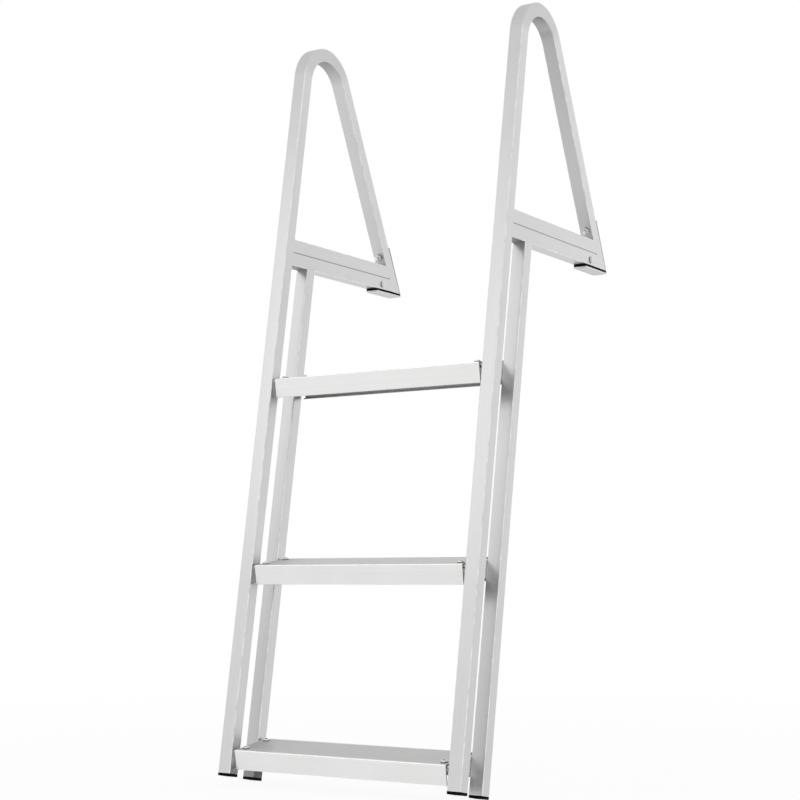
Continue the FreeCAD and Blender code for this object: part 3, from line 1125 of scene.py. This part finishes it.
@dataclass(frozen=True)
class DeckArm:
    """Two stacked tubes between the front rail and the leg, with their ground welds.

    Attributes:
        sizes: dimensions of the ladder.
        joint_shade: painted shade in the crease where the two tubes meet.
        weld_steps: divisions of a weld's round.
    """

    sizes: Sizes
    joint_shade: float = 0.4
    weld_steps: int = 6

    def tube(self, side: Side, index: int) -> Skin:
        """One arm tube.

        The corners that meet the other tube carry painted shade in the crease between them,
        and so does the underside of the lower tube in the pocket between the rails.

        Args:
            side: side frame.
            index: 0 for the upper tube and 1 for the lower one.

        Returns:
            The skin of the tube.
        """
        s = self.sizes
        t = -(index + 0.5) * s.tube
        way = np.array([1.0, 0.0])
        front = np.array([t * math.tan(s.lean), t])
        back = np.array([s.leg_face(t), t])
        pocket = np.array([self.pocket_edge(), t])
        stations = [Station(front, way, s.back_rail), Station(pocket, way, way),
                    Station(pocket + way, way, way), Station(back, way, s.back_leg)]
        painted_light_and_wear = polished_and_highlit_corners(len(stations))
        # Painted shade in the crease where the two tubes meet.
        meeting = [2, 3] if index == 0 else [0, 1]
        painted_light_and_wear[:, meeting] *= -self.joint_shade
        # Painted shade on the lower tube's underside in the pocket between the rails.
        if index == 1:
            shade_face(painted_light_and_wear[:2], Face.INNER, PAINTED_SHADE)
        return swept_tube(s, stations, s.side_x(side), painted_light_and_wear)

    def pocket_edge(self) -> float:
        """Level-frame depth where the rear rail's front face meets the arm."""
        s = self.sizes
        return s.rail_gap / math.cos(s.lean) - s.arm_stack * math.tan(s.lean)

    def weld(self, side: Side, out: int, corner: Array, inwards: Array, length: Array) -> Skin:
        """Weld metal that fills a tube's round corner flush with both faces.

        Formula: the profile runs from the sharp corner along the side face, back along
        the arc of the tube's corner, and home along the joint face.

        Args:
            side: side frame.
            out: 1 or -1, the side face across the ladder.
            corner: level-frame point where the joint starts.
            inwards: level-frame direction from the joint into the tube.
            length: level-frame vector along the joint.

        Returns:
            The closed filler.
        """
        s = self.sizes
        angle = np.linspace(math.pi / 2, 0, self.weld_steps + 1)
        arc = s.corner * (1 - np.stack([np.sin(angle), np.cos(angle)], -1))
        profile = np.concatenate([[[0.0, 0.0]], arc])
        start = np.array([s.side_x(side) + out * s.half, *(corner - s.origin())])
        axes = Axes(start, upright(inwards), -out * ACROSS, upright(length))
        return extruded(profile, axes, 0.0, 1.0)

    def welds(self, side: Side) -> list[Skin]:
        """The fillers at the front rail, at the leg and at the top of the rear rail.

        Args:
            side: side frame.

        Returns:
            Six closed fillers.
        """
        s = self.sizes
        down_rail = -s.up_rail * s.arm_stack / s.up_rail[1]
        leg_top = np.array([s.leg_face(0.0), 0.0])
        down_leg = s.down_leg * s.arm_stack / -s.down_leg[1]
        edge = np.array([self.pocket_edge(), -s.arm_stack])
        along = np.array([s.tube / math.cos(s.lean), 0.0])
        skins = []
        for out in (-1, 1):
            skins.append(self.weld(side, out, np.zeros(2), -s.back_rail, down_rail))
            skins.append(self.weld(side, out, leg_top, s.back_leg, down_leg))
            skins.append(self.weld(side, out, edge, np.array([0.0, 1.0]), along))
        return skins

    def pieces(self, side: Side) -> list[Piece]:
        """The arm tubes and welds of one side."""
        upper, lower = (side.value + "_arm_" + name for name in ("upper", "lower"))
        return [Piece(upper, [self.tube(side, 0)], TUBE_METAL, (upper,)),
                Piece(lower, [self.tube(side, 1)], TUBE_METAL, (lower,)),
                Piece(side.value + "_ground_welds", self.welds(side), WELD_METAL, ())]


@dataclass(frozen=True)
class DeckShoe:
    """Bent deck plate and the rubber pad between it and the arm.

    Attributes:
        sizes: dimensions of the ladder.
        edge: round of the edges.
        heel: inner round of the plate's bend.
        shade_band: width of the band of painted shade beside a cut edge.
        corner_steps: divisions of each corner of the plate.
    """

    sizes: Sizes
    edge: float = 0.4
    heel: float = 0.05
    shade_band: float = 1.0
    corner_steps: int = 8

    def plate(self, side: Side) -> Skin:
        """The plate: a foot under the arm and a strip up the back of the leg.

        The corners of the strip's top carry painted shade at both cut edges.

        Args:
            side: side frame.

        Returns:
            The skin of the plate.
        """
        s = self.sizes
        foot_top = s.foot_low + s.plate_thick
        back_top = np.array([s.leg_face(s.plate_rise, True), s.plate_rise])
        outline = np.array([
            (s.plate_front, s.foot_low), (s.plate_front, foot_top),
            (s.leg_face(foot_top, True), foot_top), back_top,
            back_top + s.back_leg * s.plate_thick, (s.plate_heel(), s.foot_low)])
        radii = np.array([self.edge, self.edge, self.heel, self.edge, self.edge,
                          s.plate_corner])
        profile = rounded_outline(outline, radii, self.corner_steps)
        way, ends = sawn_rows(-s.half, s.half, self.shade_band)
        # Painted shade on the strip's top corners at the cut edges.
        strip_top_shade = np.repeat([0.0, 0.0, 0.0, PAINTED_SHADE, PAINTED_SHADE, 0.0], self.corner_steps + 1)
        axes = level_axes(s, s.side_x(side))
        return Skin(axes.place(profile, way), painted_light_and_wear=strip_top_shade * ends)

    def pad(self, side: Side) -> Skin:
        """The rubber strip.

        Args:
            side: side frame.

        Returns:
            The skin of the pad.
        """
        s = self.sizes
        top = -s.arm_stack
        low = top - s.pad_thick
        outline = np.array([(s.plate_front, low), (s.plate_front, top),
                            (s.leg_face(top, True), top), (s.leg_face(low, True), low)])
        profile = rounded_outline(outline, self.edge)
        return extruded(profile, level_axes(s, s.side_x(side)), -s.half, s.half)

    def pieces(self, side: Side) -> list[Piece]:
        """The plate and pad of one side."""
        plate, pad = (side.value + "_deck_" + name for name in ("plate", "pad"))
        return [Piece(plate, [self.plate(side)], PLATE_METAL, (plate,), self.edge),
                Piece(pad, [self.pad(side)], PAD_RUBBER, (pad,), self.edge / 2)]


@dataclass(frozen=True)
class FootCap:
    """Black plug in the foot of a rail, with a flange under it.

    Attributes:
        sizes: dimensions of the ladder.
        flange: height of the flange under the rail.
        plug: height of the plug in the rail.
        play: gap between the plug and the rail's bore.
        edge: round of the flange's lower edge and slope of the plug's upper one.
        edge_rows: rows of the flange's lower edge.
    """

    sizes: Sizes
    flange: float = 4.8
    plug: float = 12.0
    play: float = 0.1
    edge: float = 0.6
    edge_rows: int = 5

    def skin(self, side: Side, y: float) -> Skin:
        """One cap as a stack of rounded squares, from the flange's underside up.

        Formula: each row is a rounded square whose size and height come from the cap's
        section; the flange's lower edge is a quarter circle of the edge radius.

        Args:
            side: side frame.
            y: rail-frame depth of the rail's middle.

        Returns:
            The skin of the cap.
        """
        s = self.sizes
        angle = np.linspace(0, math.pi / 2, self.edge_rows)
        sizes = s.tube - 2 * self.edge * (1 - np.sin(angle))
        heights = -self.flange + self.edge * (1 - np.cos(angle))
        bore = s.bore - 2 * self.play
        sizes = np.concatenate([sizes, [s.tube, bore, bore, bore - 2 * self.edge]])
        heights = np.concatenate([heights, [0.0, 0.0, self.plug - self.edge, self.plug]])
        rows = np.stack([rounded_square(size, s.corner if size > bore else s.corner / 2)
                         for size in sizes])
        foot = s.level([y, -s.foot_drop]) - s.origin()
        axes = Axes(np.array([s.side_x(side), *foot]), ACROSS, upright(s.back_rail),
                    upright(s.up_rail))
        return Skin(axes.place(rows, heights[:, None]))

    def pieces(self, side: Side) -> list[Piece]:
        """The front and rear caps of one side.

        Args:
            side: side frame.

        Returns:
            Two pieces.
        """
        s = self.sizes
        made = []
        for place, y in (("front", -s.half), ("rear", s.rail_gap + s.half)):
            name = side.value + "_" + place + "_foot_cap"
            made.append(Piece(name, [self.skin(side, y)], CAP_PLASTIC, (name,)))
        return made


@dataclass(frozen=True)
class Fastener:
    """Shapes of bolt heads, nuts and thread ends, in millimetres.

    Attributes:
        columns: divisions of a full turn.
        pitch: rise of the thread in a turn.
        thread_depth: depth of the thread.
        thread_rows: rows of points in a pitch.
        thread_chamfer: how far the last row of a thread is turned down.
        dome_rows: rows of a button head's dome.
        lip: radius of the dome's rim round the socket, over the socket's size.
        socket_chamfer: depth of the rim's slope into the socket.
        socket_floor: height of the socket's floor, over the head's height.
        socket_taper: size of that floor, over the socket's size.
        low_rows: rows of a low head's dome.
        low_angle: angle up the ellipse at which a low head's flat begins.
        cone_face: size of a nut's chamfer at its faces, over the size across its flats.
        cone_slope: how fast the radius of that chamfer grows away from the faces.
    """

    columns: int = 36
    pitch: float = 1.0
    thread_depth: float = 0.45
    thread_rows: int = 8
    thread_chamfer: float = 0.3
    dome_rows: int = 10
    lip: float = 0.64
    socket_chamfer: float = 0.1
    socket_floor: float = 0.5
    socket_taper: float = 0.97
    low_rows: int = 12
    low_angle: float = math.radians(84)
    cone_face: float = 0.96
    cone_slope: float = 1.9

    # Painted shade on the rows of a button head: the flange's two, the dome's first two, and
    # the socket's rim and floor.
    FLANGE_SHADE = (-0.9, -0.5)
    DOME_SHADE = (-1.0, -0.4)
    SOCKET_SHADE = (-0.3, -1.0)
    # Painted shade on the two rows of a low head's rim.
    RIM_SHADE = (-1.0, -0.8)
    # Height of each row of a nut, over the nut's height, with the row's painted light.
    NUT_ROWS = ((0.0, -1.0), (0.06, -0.9), (0.12, -0.6), (0.5, 0.0), (0.88, 0.0), (0.94, 0.3),
                (1.0, 0.0))

    def button_head(self, axes: Axes, flange: float, rim: float, diameter: float,
                    height: float, socket: float) -> Skin:
        """Domed head on a flange, with a hexagon socket, seated at the axes' origin.

        Formula: the flange's rim, its flat, a quarter ellipse up to the socket's edge,
        then the hexagon of the socket, sunk into the head.

        Args:
            axes: frame whose along direction points out of the seat.
            flange: diameter of the flange.
            rim: height of the flange.
            diameter: diameter of the dome.
            height: height of the head, flange and dome.
            socket: size of the socket across its flats.

        Returns:
            The skin of the head.
        """
        hexed = hexagon_radius(socket, self.columns)
        lip = socket * self.lip
        angle = np.linspace(0, math.pi / 2, self.dome_rows)
        dome = lip + (diameter / 2 - lip) * np.cos(angle)
        turned = np.concatenate([[flange / 2, flange / 2], dome])[:, None]
        radii = np.concatenate([np.tile(turned, self.columns),
                                [hexed, hexed * self.socket_taper]])
        rise = rim + (height - rim) * np.sin(angle)
        socket_heights = [height - self.socket_chamfer, height * self.socket_floor]
        heights = np.concatenate([[0.0, rim], rise, socket_heights])
        painted_light_and_wear = np.zeros((len(heights), 1))
        # Painted shade at the seat and in the socket.
        painted_light_and_wear[:4, 0] = self.FLANGE_SHADE + self.DOME_SHADE
        painted_light_and_wear[-2:, 0] = self.SOCKET_SHADE
        return revolved(radii, heights, axes, self.columns, painted_light_and_wear)

    def low_head(self, axes: Axes, diameter: float, rim: float, height: float) -> Skin:
        """Plain low domed head: a rim and a quarter ellipse that ends in a small flat.

        Args:
            axes: frame whose along direction points out of the seat.
            diameter: diameter of the head.
            rim: height of the rim.
            height: height of the head.

        Returns:
            The skin of the head.
        """
        angle = np.linspace(0, self.low_angle, self.low_rows)
        radii = np.concatenate([[1.0], np.cos(angle)]) * diameter / 2
        heights = np.concatenate([[0.0], rim + (height - rim) * np.sin(angle)])
        painted_light_and_wear = np.zeros((len(heights), 1))
        # Painted shade in a ring at the seat.
        painted_light_and_wear[:2, 0] = self.RIM_SHADE
        return revolved(radii, heights, axes, self.columns, painted_light_and_wear)

    def nut(self, axes: Axes, across: float, height: float) -> Skin:
        """Hexagon nut or head with turned chamfers, from the axes' origin.

        Formula: the radius is the smaller of the hexagon's and of a cone that meets
        the flats at both faces and the corners a little way in.

        Args:
            axes: frame whose along direction points out of the seat.
            across: size across the flats.
            height: height of the nut.

        Returns:
            The skin of the nut.
        """
        # Painted shade at the seat and a painted highlight on the top chamfer.
        shares, painted_light_and_wear = np.array(self.NUT_ROWS).T
        heights = shares * height
        edge = np.minimum(heights, height - heights)
        cone = across / 2 * self.cone_face + edge * self.cone_slope
        radii = np.minimum(hexagon_radius(across, self.columns), cone[:, None])
        return revolved(radii, heights, axes, self.columns, painted_light_and_wear[:, None])

    def thread(self, axes: Axes, diameter: float, start: float, end: float) -> Skin:
        """Threaded end of a bolt between two heights.

        Formula: the radius falls from the crest by the thread's depth times a triangle
        wave of height over pitch less turn, so that the crest climbs one pitch a turn.
        The grooves carry painted shade and the cut end a painted highlight.

        Args:
            axes: frame whose along direction is the bolt's.
            diameter: diameter over the crests.
            start: height of the first row.
            end: height of the cut end.

        Returns:
            The skin of the thread.
        """
        count = int((end - start) / self.pitch * self.thread_rows)
        heights = np.linspace(start, end, count)
        turn = np.arange(self.columns) / self.columns
        wave = np.abs(2 * ((heights[:, None] / self.pitch - turn) % 1) - 1)
        last = (np.arange(count) == count - 1)[:, None]
        radii = diameter / 2 - self.thread_depth * wave - self.thread_chamfer * last
        # Painted shade in the thread's grooves and a painted highlight on the cut end.
        return revolved(radii, heights, axes, self.columns, np.where(last, POLISHED_AND_HIGHLIT, -wave))


@dataclass(frozen=True)
class FrameBolts:
    """The bolt through leg and deck plate, and the cross bolt through the arm.

    Attributes:
        sizes: dimensions of the ladder.
        fastener: shapes of the bolts.
        thread: diameter of the leg bolt.
        thread_end: how far its thread stands out of the nut.
        head: size of its head and nut across the flats.
        head_height: height of its head.
        nut_height: height of its nut.
        rise: distance of the leg bolt up the leg from the top of the arm.
        dome: diameter of the arm bolt's heads.
        dome_rim: height of their rims.
        dome_height: height of the heads.
        inset: level distance of the arm bolt from the leg.
        drop: distance of the arm bolt under the top of the lower arm tube.
    """

    sizes: Sizes
    fastener: Fastener = Fastener()
    thread: float = 8.0
    thread_end: float = 3.0
    head: float = 13.0
    head_height: float = 5.3
    nut_height: float = 8.0
    rise: float = 19.0
    dome: float = 13.0
    dome_rim: float = 1.1
    dome_height: float = 2.4
    inset: float = 36.0
    drop: float = 15.0

    def leg_bolt(self, side: Side) -> list[Skin]:
        """Nut and thread end on the leg's front face, head on the plate's strip.

        Args:
            side: side frame.

        Returns:
            The skins of the nut, the head and the thread.
        """
        s = self.sizes
        t = self.rise * math.cos(s.leg_lean)
        front = np.array([s.side_x(side), *(np.array([s.leg_face(t), t]) - s.origin())])
        down, back = upright(s.down_leg), upright(s.back_leg)
        ahead = Axes(front, ACROSS, down, -back)
        behind = Axes(front + (s.tube + s.plate_thick) * back, ACROSS, down, back)
        return [self.fastener.nut(ahead, self.head, self.nut_height),
                self.fastener.nut(behind, self.head, self.head_height),
                self.fastener.thread(ahead, self.thread, self.nut_height / 2,
                                     self.nut_height + self.thread_end)]

    def arm_bolt(self, side: Side) -> list[Skin]:
        """Low domed heads on both side faces of the lower arm tube.

        Args:
            side: side frame.

        Returns:
            The skins of the two heads.
        """
        s = self.sizes
        t = -s.tube - self.drop
        place = np.array([s.leg_face(t) - self.inset, t]) - s.origin()
        skins = []
        for out in (-1, 1):
            start = np.array([s.side_x(side) + out * s.half, *place])
            axes = Axes(start, upright([1.0, 0.0]), upright([0.0, 1.0]), out * ACROSS)
            skins.append(self.fastener.low_head(axes, self.dome, self.dome_rim,
                                                self.dome_height))
        return skins

    def pieces(self, side: Side) -> list[Piece]:
        """The bolts of one side frame."""
        leg, arm = (side.value + "_" + name for name in ("leg_bolt", "arm_bolt"))
        return [Piece(leg, self.leg_bolt(side), BOLT_METAL, (leg,)),
                Piece(arm, self.arm_bolt(side), SHADED_RIVET_METAL, (arm,))]


@dataclass(frozen=True)
class Tread:
    """Ribbed channel with its two clips and four bolts.

    Attributes:
        sizes: dimensions of the ladder.
        fastener: shapes of the bolts.
        front_skirt: height of the front skirt.
        rear_skirt: height of the rear skirt.
        top: thickness of the top.
        wall: thickness of the skirts and lips.
        lip: width of the lips turned in under the skirts.
        edge: outer round of the channel's corners.
        rib_pitch: distance from one groove to the next.
        rib_groove: width of a groove.
        rib_depth: depth of a groove.
        rib_margin: flat left beside the first and the last groove.
        rib_edge: small round of the grooves and of the inner corners.
        corner_steps: divisions of each corner.
        end_shade_band: width of the painted shade at each cut end of the channel.
        middle_shade: painted shade that the middle tread's grooves have over the others'.
        clip_thick: thickness of a clip.
        clip_length: length of a clip's shelf under the tread's top.
        clip_drop: height of its leg on the rail.
        clip_inset: distance of its ends from the tread's front and back.
        clip_edge: round of its edges.
        clip_heel: inner round of its bend.
        clip_toe: outer round of its bend.
        clip_shade_band: width of the band of painted shade at its cut ends.
        clip_end: depth of that painted shade.
        clip_inside_shade: painted shade inside the bend.
        bolt: diameter of a bolt's thread.
        flange: diameter of a head's flange.
        flange_height: height of that flange.
        head: diameter of a head's dome.
        head_height: height of a head.
        socket: size of its socket across the flats.
        nut: size of a nut across the flats.
        nut_height: height of a nut.
        thread_end: how far a thread stands out of its nut.
        bolt_inset_x: distance of the bolts from the channel's ends.
        bolt_inset_v: distance of the bolts from its front and back.
    """

    sizes: Sizes
    fastener: Fastener = Fastener()
    front_skirt: float = 35.2
    rear_skirt: float = 41.8
    top: float = 2.6
    wall: float = 2.2
    lip: float = 8.0
    edge: float = 1.4
    rib_pitch: float = 5.0
    rib_groove: float = 2.2
    rib_depth: float = 0.8
    rib_margin: float = 5.0
    rib_edge: float = 0.3
    corner_steps: int = 4
    end_shade_band: float = 0.4
    middle_shade: float = 0.12
    clip_thick: float = 3.0
    clip_length: float = 32.0
    clip_drop: float = 30.0
    clip_inset: float = 3.0
    clip_edge: float = 0.4
    clip_heel: float = 1.5
    clip_toe: float = 1.2
    clip_shade_band: float = 1.0
    clip_end: float = 0.25
    clip_inside_shade: float = 0.8
    bolt: float = 6.0
    flange: float = 13.4
    flange_height: float = 1.0
    head: float = 10.8
    head_height: float = 4.0
    socket: float = 4.0
    nut: float = 10.0
    nut_height: float = 5.0
    thread_end: float = 1.5
    bolt_inset_x: float = 11.9
    bolt_inset_v: float = 18.0

    # Painted shade in a groove's four corners.
    GROOVE_SHADE = (-0.4, -1.0, -1.0, -0.4)

    def shell(self) -> Array:
        """Corners of the channel without its grooves, from the front top edge round.

        Returns:
            (12, 4) values: v, s, round and painted light of each corner.
        """
        back = self.sizes.tread_depth
        front_low, rear_low = -self.front_skirt, -self.rear_skirt
        small = self.rib_edge
        # Last column: painted highlight on the outer edges, painted shade inside the rear skirt
        # and on its lip.
        return np.array([
            (0, 0, self.edge, 1), (0, front_low, self.edge, 0.5),
            (self.lip, front_low, small, 0), (self.lip, front_low + self.wall, small, 0),
            (self.wall, front_low + self.wall, small, 0), (self.wall, -self.top, small, 0),
            (back - self.wall, -self.top, small, 0),
            (back - self.wall, rear_low + self.wall, small, -1),
            (back - self.lip, rear_low + self.wall, small, -1),
            (back - self.lip, rear_low, small, -1),
            (back, rear_low, self.edge, 0.5), (back, 0, self.edge, 1)])

    def grooves(self, extra_shade: float) -> Array:
        """Corners of the grooves, from the back to the front.

        Formula: the grooves stand one pitch apart and centred on the top, as many as fit
        between the margins.

        Args:
            extra_shade: painted shade over that of the other treads.

        Returns:
            (4 * grooves, 4) values: v, s, round and painted shade of each corner.
        """
        back = self.sizes.tread_depth
        ribbed = back - 2 * self.rib_margin
        count = int((ribbed + self.rib_pitch - self.rib_groove) // self.rib_pitch)
        first = (back - (count - 1) * self.rib_pitch - self.rib_groove) / 2
        near = first + np.arange(count)[::-1, None] * self.rib_pitch
        across = near + np.array([self.rib_groove, self.rib_groove, 0, 0])
        down = np.tile([0, -self.rib_depth, -self.rib_depth, 0], count)
        painted_light_and_wear = np.tile(self.GROOVE_SHADE, count) - extra_shade
        return np.stack([across.ravel(), down, np.full(4 * count, self.rib_edge), painted_light_and_wear], -1)

    def channel(self, tier: Tier) -> Skin:
        """The tread: skirts with turned-in lips under a top with grooves along it.

        Outer edges are polished and carry a painted highlight in the middle of their rounds;
        the grooves and the cut ends of the channel, all round, carry painted shade.

        Args:
            tier: which tread.

        Returns:
            The skin of the tread.
        """
        s = self.sizes
        # Painted shade in the grooves, a little deeper on the middle tread.
        extra_shade = self.middle_shade if tier is Tier.MIDDLE else 0.0
        table = np.concatenate([self.shell(), self.grooves(extra_shade)])
        profile = rounded_outline(table[:, :2], table[:, 2], self.corner_steps)
        # Painted highlight on the polished outer edges.
        polish_and_highlight = corner_polish_and_highlight(self.corner_steps)
        painted_light_and_wear = table[:, 3:] * np.where(table[:, 3:] > 0, polish_and_highlight, 1.0)
        end = s.half + s.tread_end_gap
        way, ends = sawn_rows(end, s.span - end, self.end_shade_band)
        # Painted shade all round the cut ends.
        painted_light_and_wear = painted_light_and_wear.reshape(1, -1) * (1 - ends) + PAINTED_SHADE * ends
        return Skin(tread_axes(s, tier).place(profile, way), painted_light_and_wear=painted_light_and_wear)

    def clip(self, tier: Tier, side: Side) -> Skin:
        """Angle between a side frame and the underside of the tread's top.

        It carries painted shade inside its bend and a little at its cut ends.

        Args:
            tier: which tread.
            side: which of its ends.

        Returns:
            The skin of the clip.
        """
        s = self.sizes
        low = -self.top - self.clip_drop
        shelf = -self.top - self.clip_thick
        outline = np.array([(0, low), (self.clip_thick, low), (self.clip_thick, shelf),
                            (self.clip_length, shelf), (self.clip_length, -self.top),
                            (0, -self.top)])
        radii = np.full(len(outline), self.clip_edge)
        radii[2] = self.clip_heel
        radii[5] = self.clip_toe
        profile = rounded_outline(outline, radii, self.corner_steps)
        way = 1 if side is Side.LEFT else -1
        tread = tread_axes(s, tier)
        start = tread.origin + ACROSS * (s.side_x(side) + way * s.half)
        axes = Axes(start, way * ACROSS, tread.second, tread.first)
        rows, ends = sawn_rows(self.clip_inset, s.tread_depth - self.clip_inset, self.clip_shade_band)
        # Painted shade inside the bend and at the cut ends.
        inside = np.repeat([0.0, 1.0, 1.0, 1.0, 0.0, 0.0], self.corner_steps + 1)
        painted_light_and_wear = -np.maximum(self.clip_end * ends, self.clip_inside_shade * inside)
        return Skin(axes.place(profile, rows), painted_light_and_wear=painted_light_and_wear)

    def bolts(self, tier: Tier) -> list[Skin]:
        """Four button-headed bolts with nuts and thread ends under the clips.

        Args:
            tier: which tread.

        Returns:
            The skins of the heads, nuts and threads.
        """
        s = self.sizes
        tread = tread_axes(s, tier)
        reach = s.half + s.tread_end_gap + self.bolt_inset_x
        under = -self.top - self.clip_thick
        skins = []
        for x in (reach, s.span - reach):
            for v in (self.bolt_inset_v, s.tread_depth - self.bolt_inset_v):
                seat = tread.origin + x * ACROSS + v * tread.first
                up = Axes(seat, ACROSS, tread.first, tread.second)
                down = Axes(seat + under * tread.second, ACROSS, tread.first, -tread.second)
                skins.append(self.fastener.button_head(
                    up, self.flange, self.flange_height, self.head, self.head_height,
                    self.socket))
                skins.append(self.fastener.nut(down, self.nut, self.nut_height))
                skins.append(self.fastener.thread(down, self.bolt, self.nut_height / 2,
                                                  self.nut_height + self.thread_end))
        return skins

    def pieces(self, tier: Tier) -> list[Piece]:
        """The tread, its clips and its bolts.

        Args:
            tier: which tread.

        Returns:
            Four pieces.
        """
        name = tier.value + "_tread"
        made = [Piece(name, [self.channel(tier)], TREAD_METAL, (name,), self.rib_edge),
                Piece(name + "_bolts", self.bolts(tier), BOLT_METAL, (name + "_bolts",))]
        for side in Side:
            clip = name + "_" + side.value + "_clip"
            skin = self.clip(tier, side)
            made.append(Piece(clip, [skin], LIT_CLIP_METAL, (clip,), self.clip_edge))
        return made


@dataclass(frozen=True)
class Softbox:
    """A rectangular lamp that points at the ladder.

    Attributes:
        name: name of the lamp.
        place: where it hangs, in metres.
        size: width and height, in metres.
        power: watts.
    """

    name: str
    place: tuple[float, float, float]
    size: tuple[float, float]
    power: float


@dataclass(frozen=True)
class Studio:
    """Pale floor, white surroundings, soft lamps and the camera.

    Attributes:
        camera_place: camera position, in metres.
        yaw: turn of the view from +Y towards -X, in degrees.
        pitch: tilt of the view above the horizon, in degrees.
        roll: turn of the picture about the view, in degrees.
        lens: focal length, in millimetres.
        sensor: width of the frame that the focal length is for, in millimetres.
        shift: how far the frame lies from the optical axis, in frame widths.
        sight: how far the camera sees, in metres.
        aim: point on the ladder that the lamps face, in metres.
        floor_reach: half the floor's width, in metres.
        floor_colour: grey of the floor's paint.
        floor_white: share of white in the floor's look close to the ladder.
        floor_fade: distances over which that share grows to 1, in metres.
        ambient: strength of the surroundings as light.
        lamps: the lamps.
    """

    camera_place: tuple[float, float, float] = (1.73978, -2.9397, -0.56656)
    yaw: float = 34.681
    pitch: float = 2.301
    roll: float = -0.239
    lens: float = 74.831
    sensor: float = 36.0
    shift: tuple[float, float] = (0.1665, 0.1297)
    sight: float = 100.0
    aim: tuple[float, float, float] = (0.228, -0.2, -0.25)
    floor_reach: float = 14.0
    floor_colour: float = 0.95
    floor_white: float = 0.92
    floor_fade: tuple[float, float] = (0.5, 2.5)
    ambient: float = 0.78
    lamps: tuple[Softbox, ...] = (
        Softbox("key", (-1.15, -2.55, 0.92), (1.1, 1.2), 2.7),
        Softbox("low", (-1.35, -3.0, -0.45), (1.1, 0.7), 0.25),
        Softbox("rim", (2.3, 11.8, 1.5), (2.5, 8.0), 60.0),
    )

    WHITE = (1.0, 1.0, 1.0, 1.0)

    def seen(self, board: NodeBoard) -> Socket:
        """Tell the looks of the surroundings from their light.

        Args:
            board: node tree that asks.

        Returns:
            1 for what the camera sees directly, in metal or through glass, 0 for light.
        """
        path = board.add("LightPath").outputs
        both = board.math("MAXIMUM", path["Is Camera Ray"], path["Is Glossy Ray"])
        return board.math("MAXIMUM", both, path["Is Transmission Ray"])

    def floor(self) -> None:
        """A flat square of pale floor under the feet, that fades to white for the camera."""
        low = CAD_BOX[0].z
        reach = self.floor_reach
        corners = [(-reach, -reach, low), (reach, -reach, low), (reach, reach, low),
                   (-reach, reach, low)]
        mesh = bpy.data.meshes.new("floor")
        mesh.from_pydata(corners, [], [(0, 1, 2, 3)])
        obj = bpy.data.objects.new("floor", mesh)
        bpy.context.scene.collection.objects.link(obj)
        board = NodeBoard(bpy.data.materials.new("floor_paint"))
        grey = self.floor_colour
        paint = board.add("BsdfDiffuse", {"Color": (grey, grey, grey, 1.0)})
        white = board.add("Emission", {"Color": self.WHITE, "Strength": 1.0})
        place = board.add("TexCoord").outputs["Object"]
        far = board.add("VectorMath", {0: place, 1: (*self.aim[:2], low)}, operation="DISTANCE")
        fade = board.ranged(far.outputs["Value"], self.floor_white, 1.0, self.floor_fade)
        share = board.math("MULTIPLY", self.seen(board), fade)
        mix = board.add("MixShader", {0: share, 1: paint.outputs[0], 2: white.outputs[0]})
        mesh.materials.append(board.finish(mix))

    def surroundings(self) -> None:
        """A world that is white where it is seen and a softer white as light."""
        world = bpy.data.worlds.new("studio")
        bpy.context.scene.world = world
        board = NodeBoard(world)
        strength = board.ranged(self.seen(board), self.ambient, 1.0, (0.0, 1.0))
        light = board.add("Background", {"Color": self.WHITE, "Strength": strength})
        board.finish(light, "OutputWorld")

    def lamp(self, box: Softbox) -> None:
        """Hang one softbox and point it at the ladder.

        Args:
            box: the lamp.
        """
        data = bpy.data.lights.new(box.name, "AREA")
        data.shape = "RECTANGLE"
        data.size, data.size_y = box.size
        data.energy = box.power
        obj = bpy.data.objects.new(box.name, data)
        bpy.context.scene.collection.objects.link(obj)
        way = Vector(self.aim) - Vector(box.place)
        turn = way.to_track_quat("-Z", "Y").to_matrix().to_4x4()
        obj.matrix_world = Matrix.Translation(box.place) @ turn

    def camera(self) -> None:
        """Set the camera at the photograph's viewpoint."""
        data = bpy.data.cameras.new("camera")
        data.sensor_width = self.sensor
        data.lens = self.lens
        data.shift_x, data.shift_y = self.shift
        data.clip_end = self.sight
        obj = bpy.data.objects.new("camera", data)
        bpy.context.scene.collection.objects.link(obj)
        obj.matrix_world = (
            Matrix.Translation(self.camera_place)
            @ Matrix.Rotation(math.radians(self.yaw), 4, "Z")
            @ Matrix.Rotation(math.radians(90 + self.pitch), 4, "X")
            @ Matrix.Rotation(math.radians(self.roll), 4, "Z"))
        bpy.context.scene.camera = obj

    def build(self) -> None:
        """Build the whole studio."""
        bpy.context.scene.view_settings.view_transform = "Standard"
        self.camera()
        self.surroundings()
        self.floor()
        for box in self.lamps:
            self.lamp(box)


def main() -> None:
    """Build every piece of the ladder and the studio, and report each piece."""
    logging.basicConfig(level=logging.INFO, format="%(name)s: %(message)s")
    sizes = Sizes()
    Studio().build()
    side_parts = (HandRail(sizes), RearRail(sizes), DeckArm(sizes), DeckShoe(sizes),
                  FootCap(sizes), FrameBolts(sizes))
    pieces = [piece for side in Side for part in side_parts for piece in part.pieces(side)]
    tread = Tread(sizes)
    pieces += [piece for tier in Tier for piece in tread.pieces(tier)]
    for piece in pieces:
        obj = piece.make()
        log.info("%s: %d faces, %s", piece.name, len(obj.data.polygons), piece.finish.name)


if __name__ == "__main__":
    main()
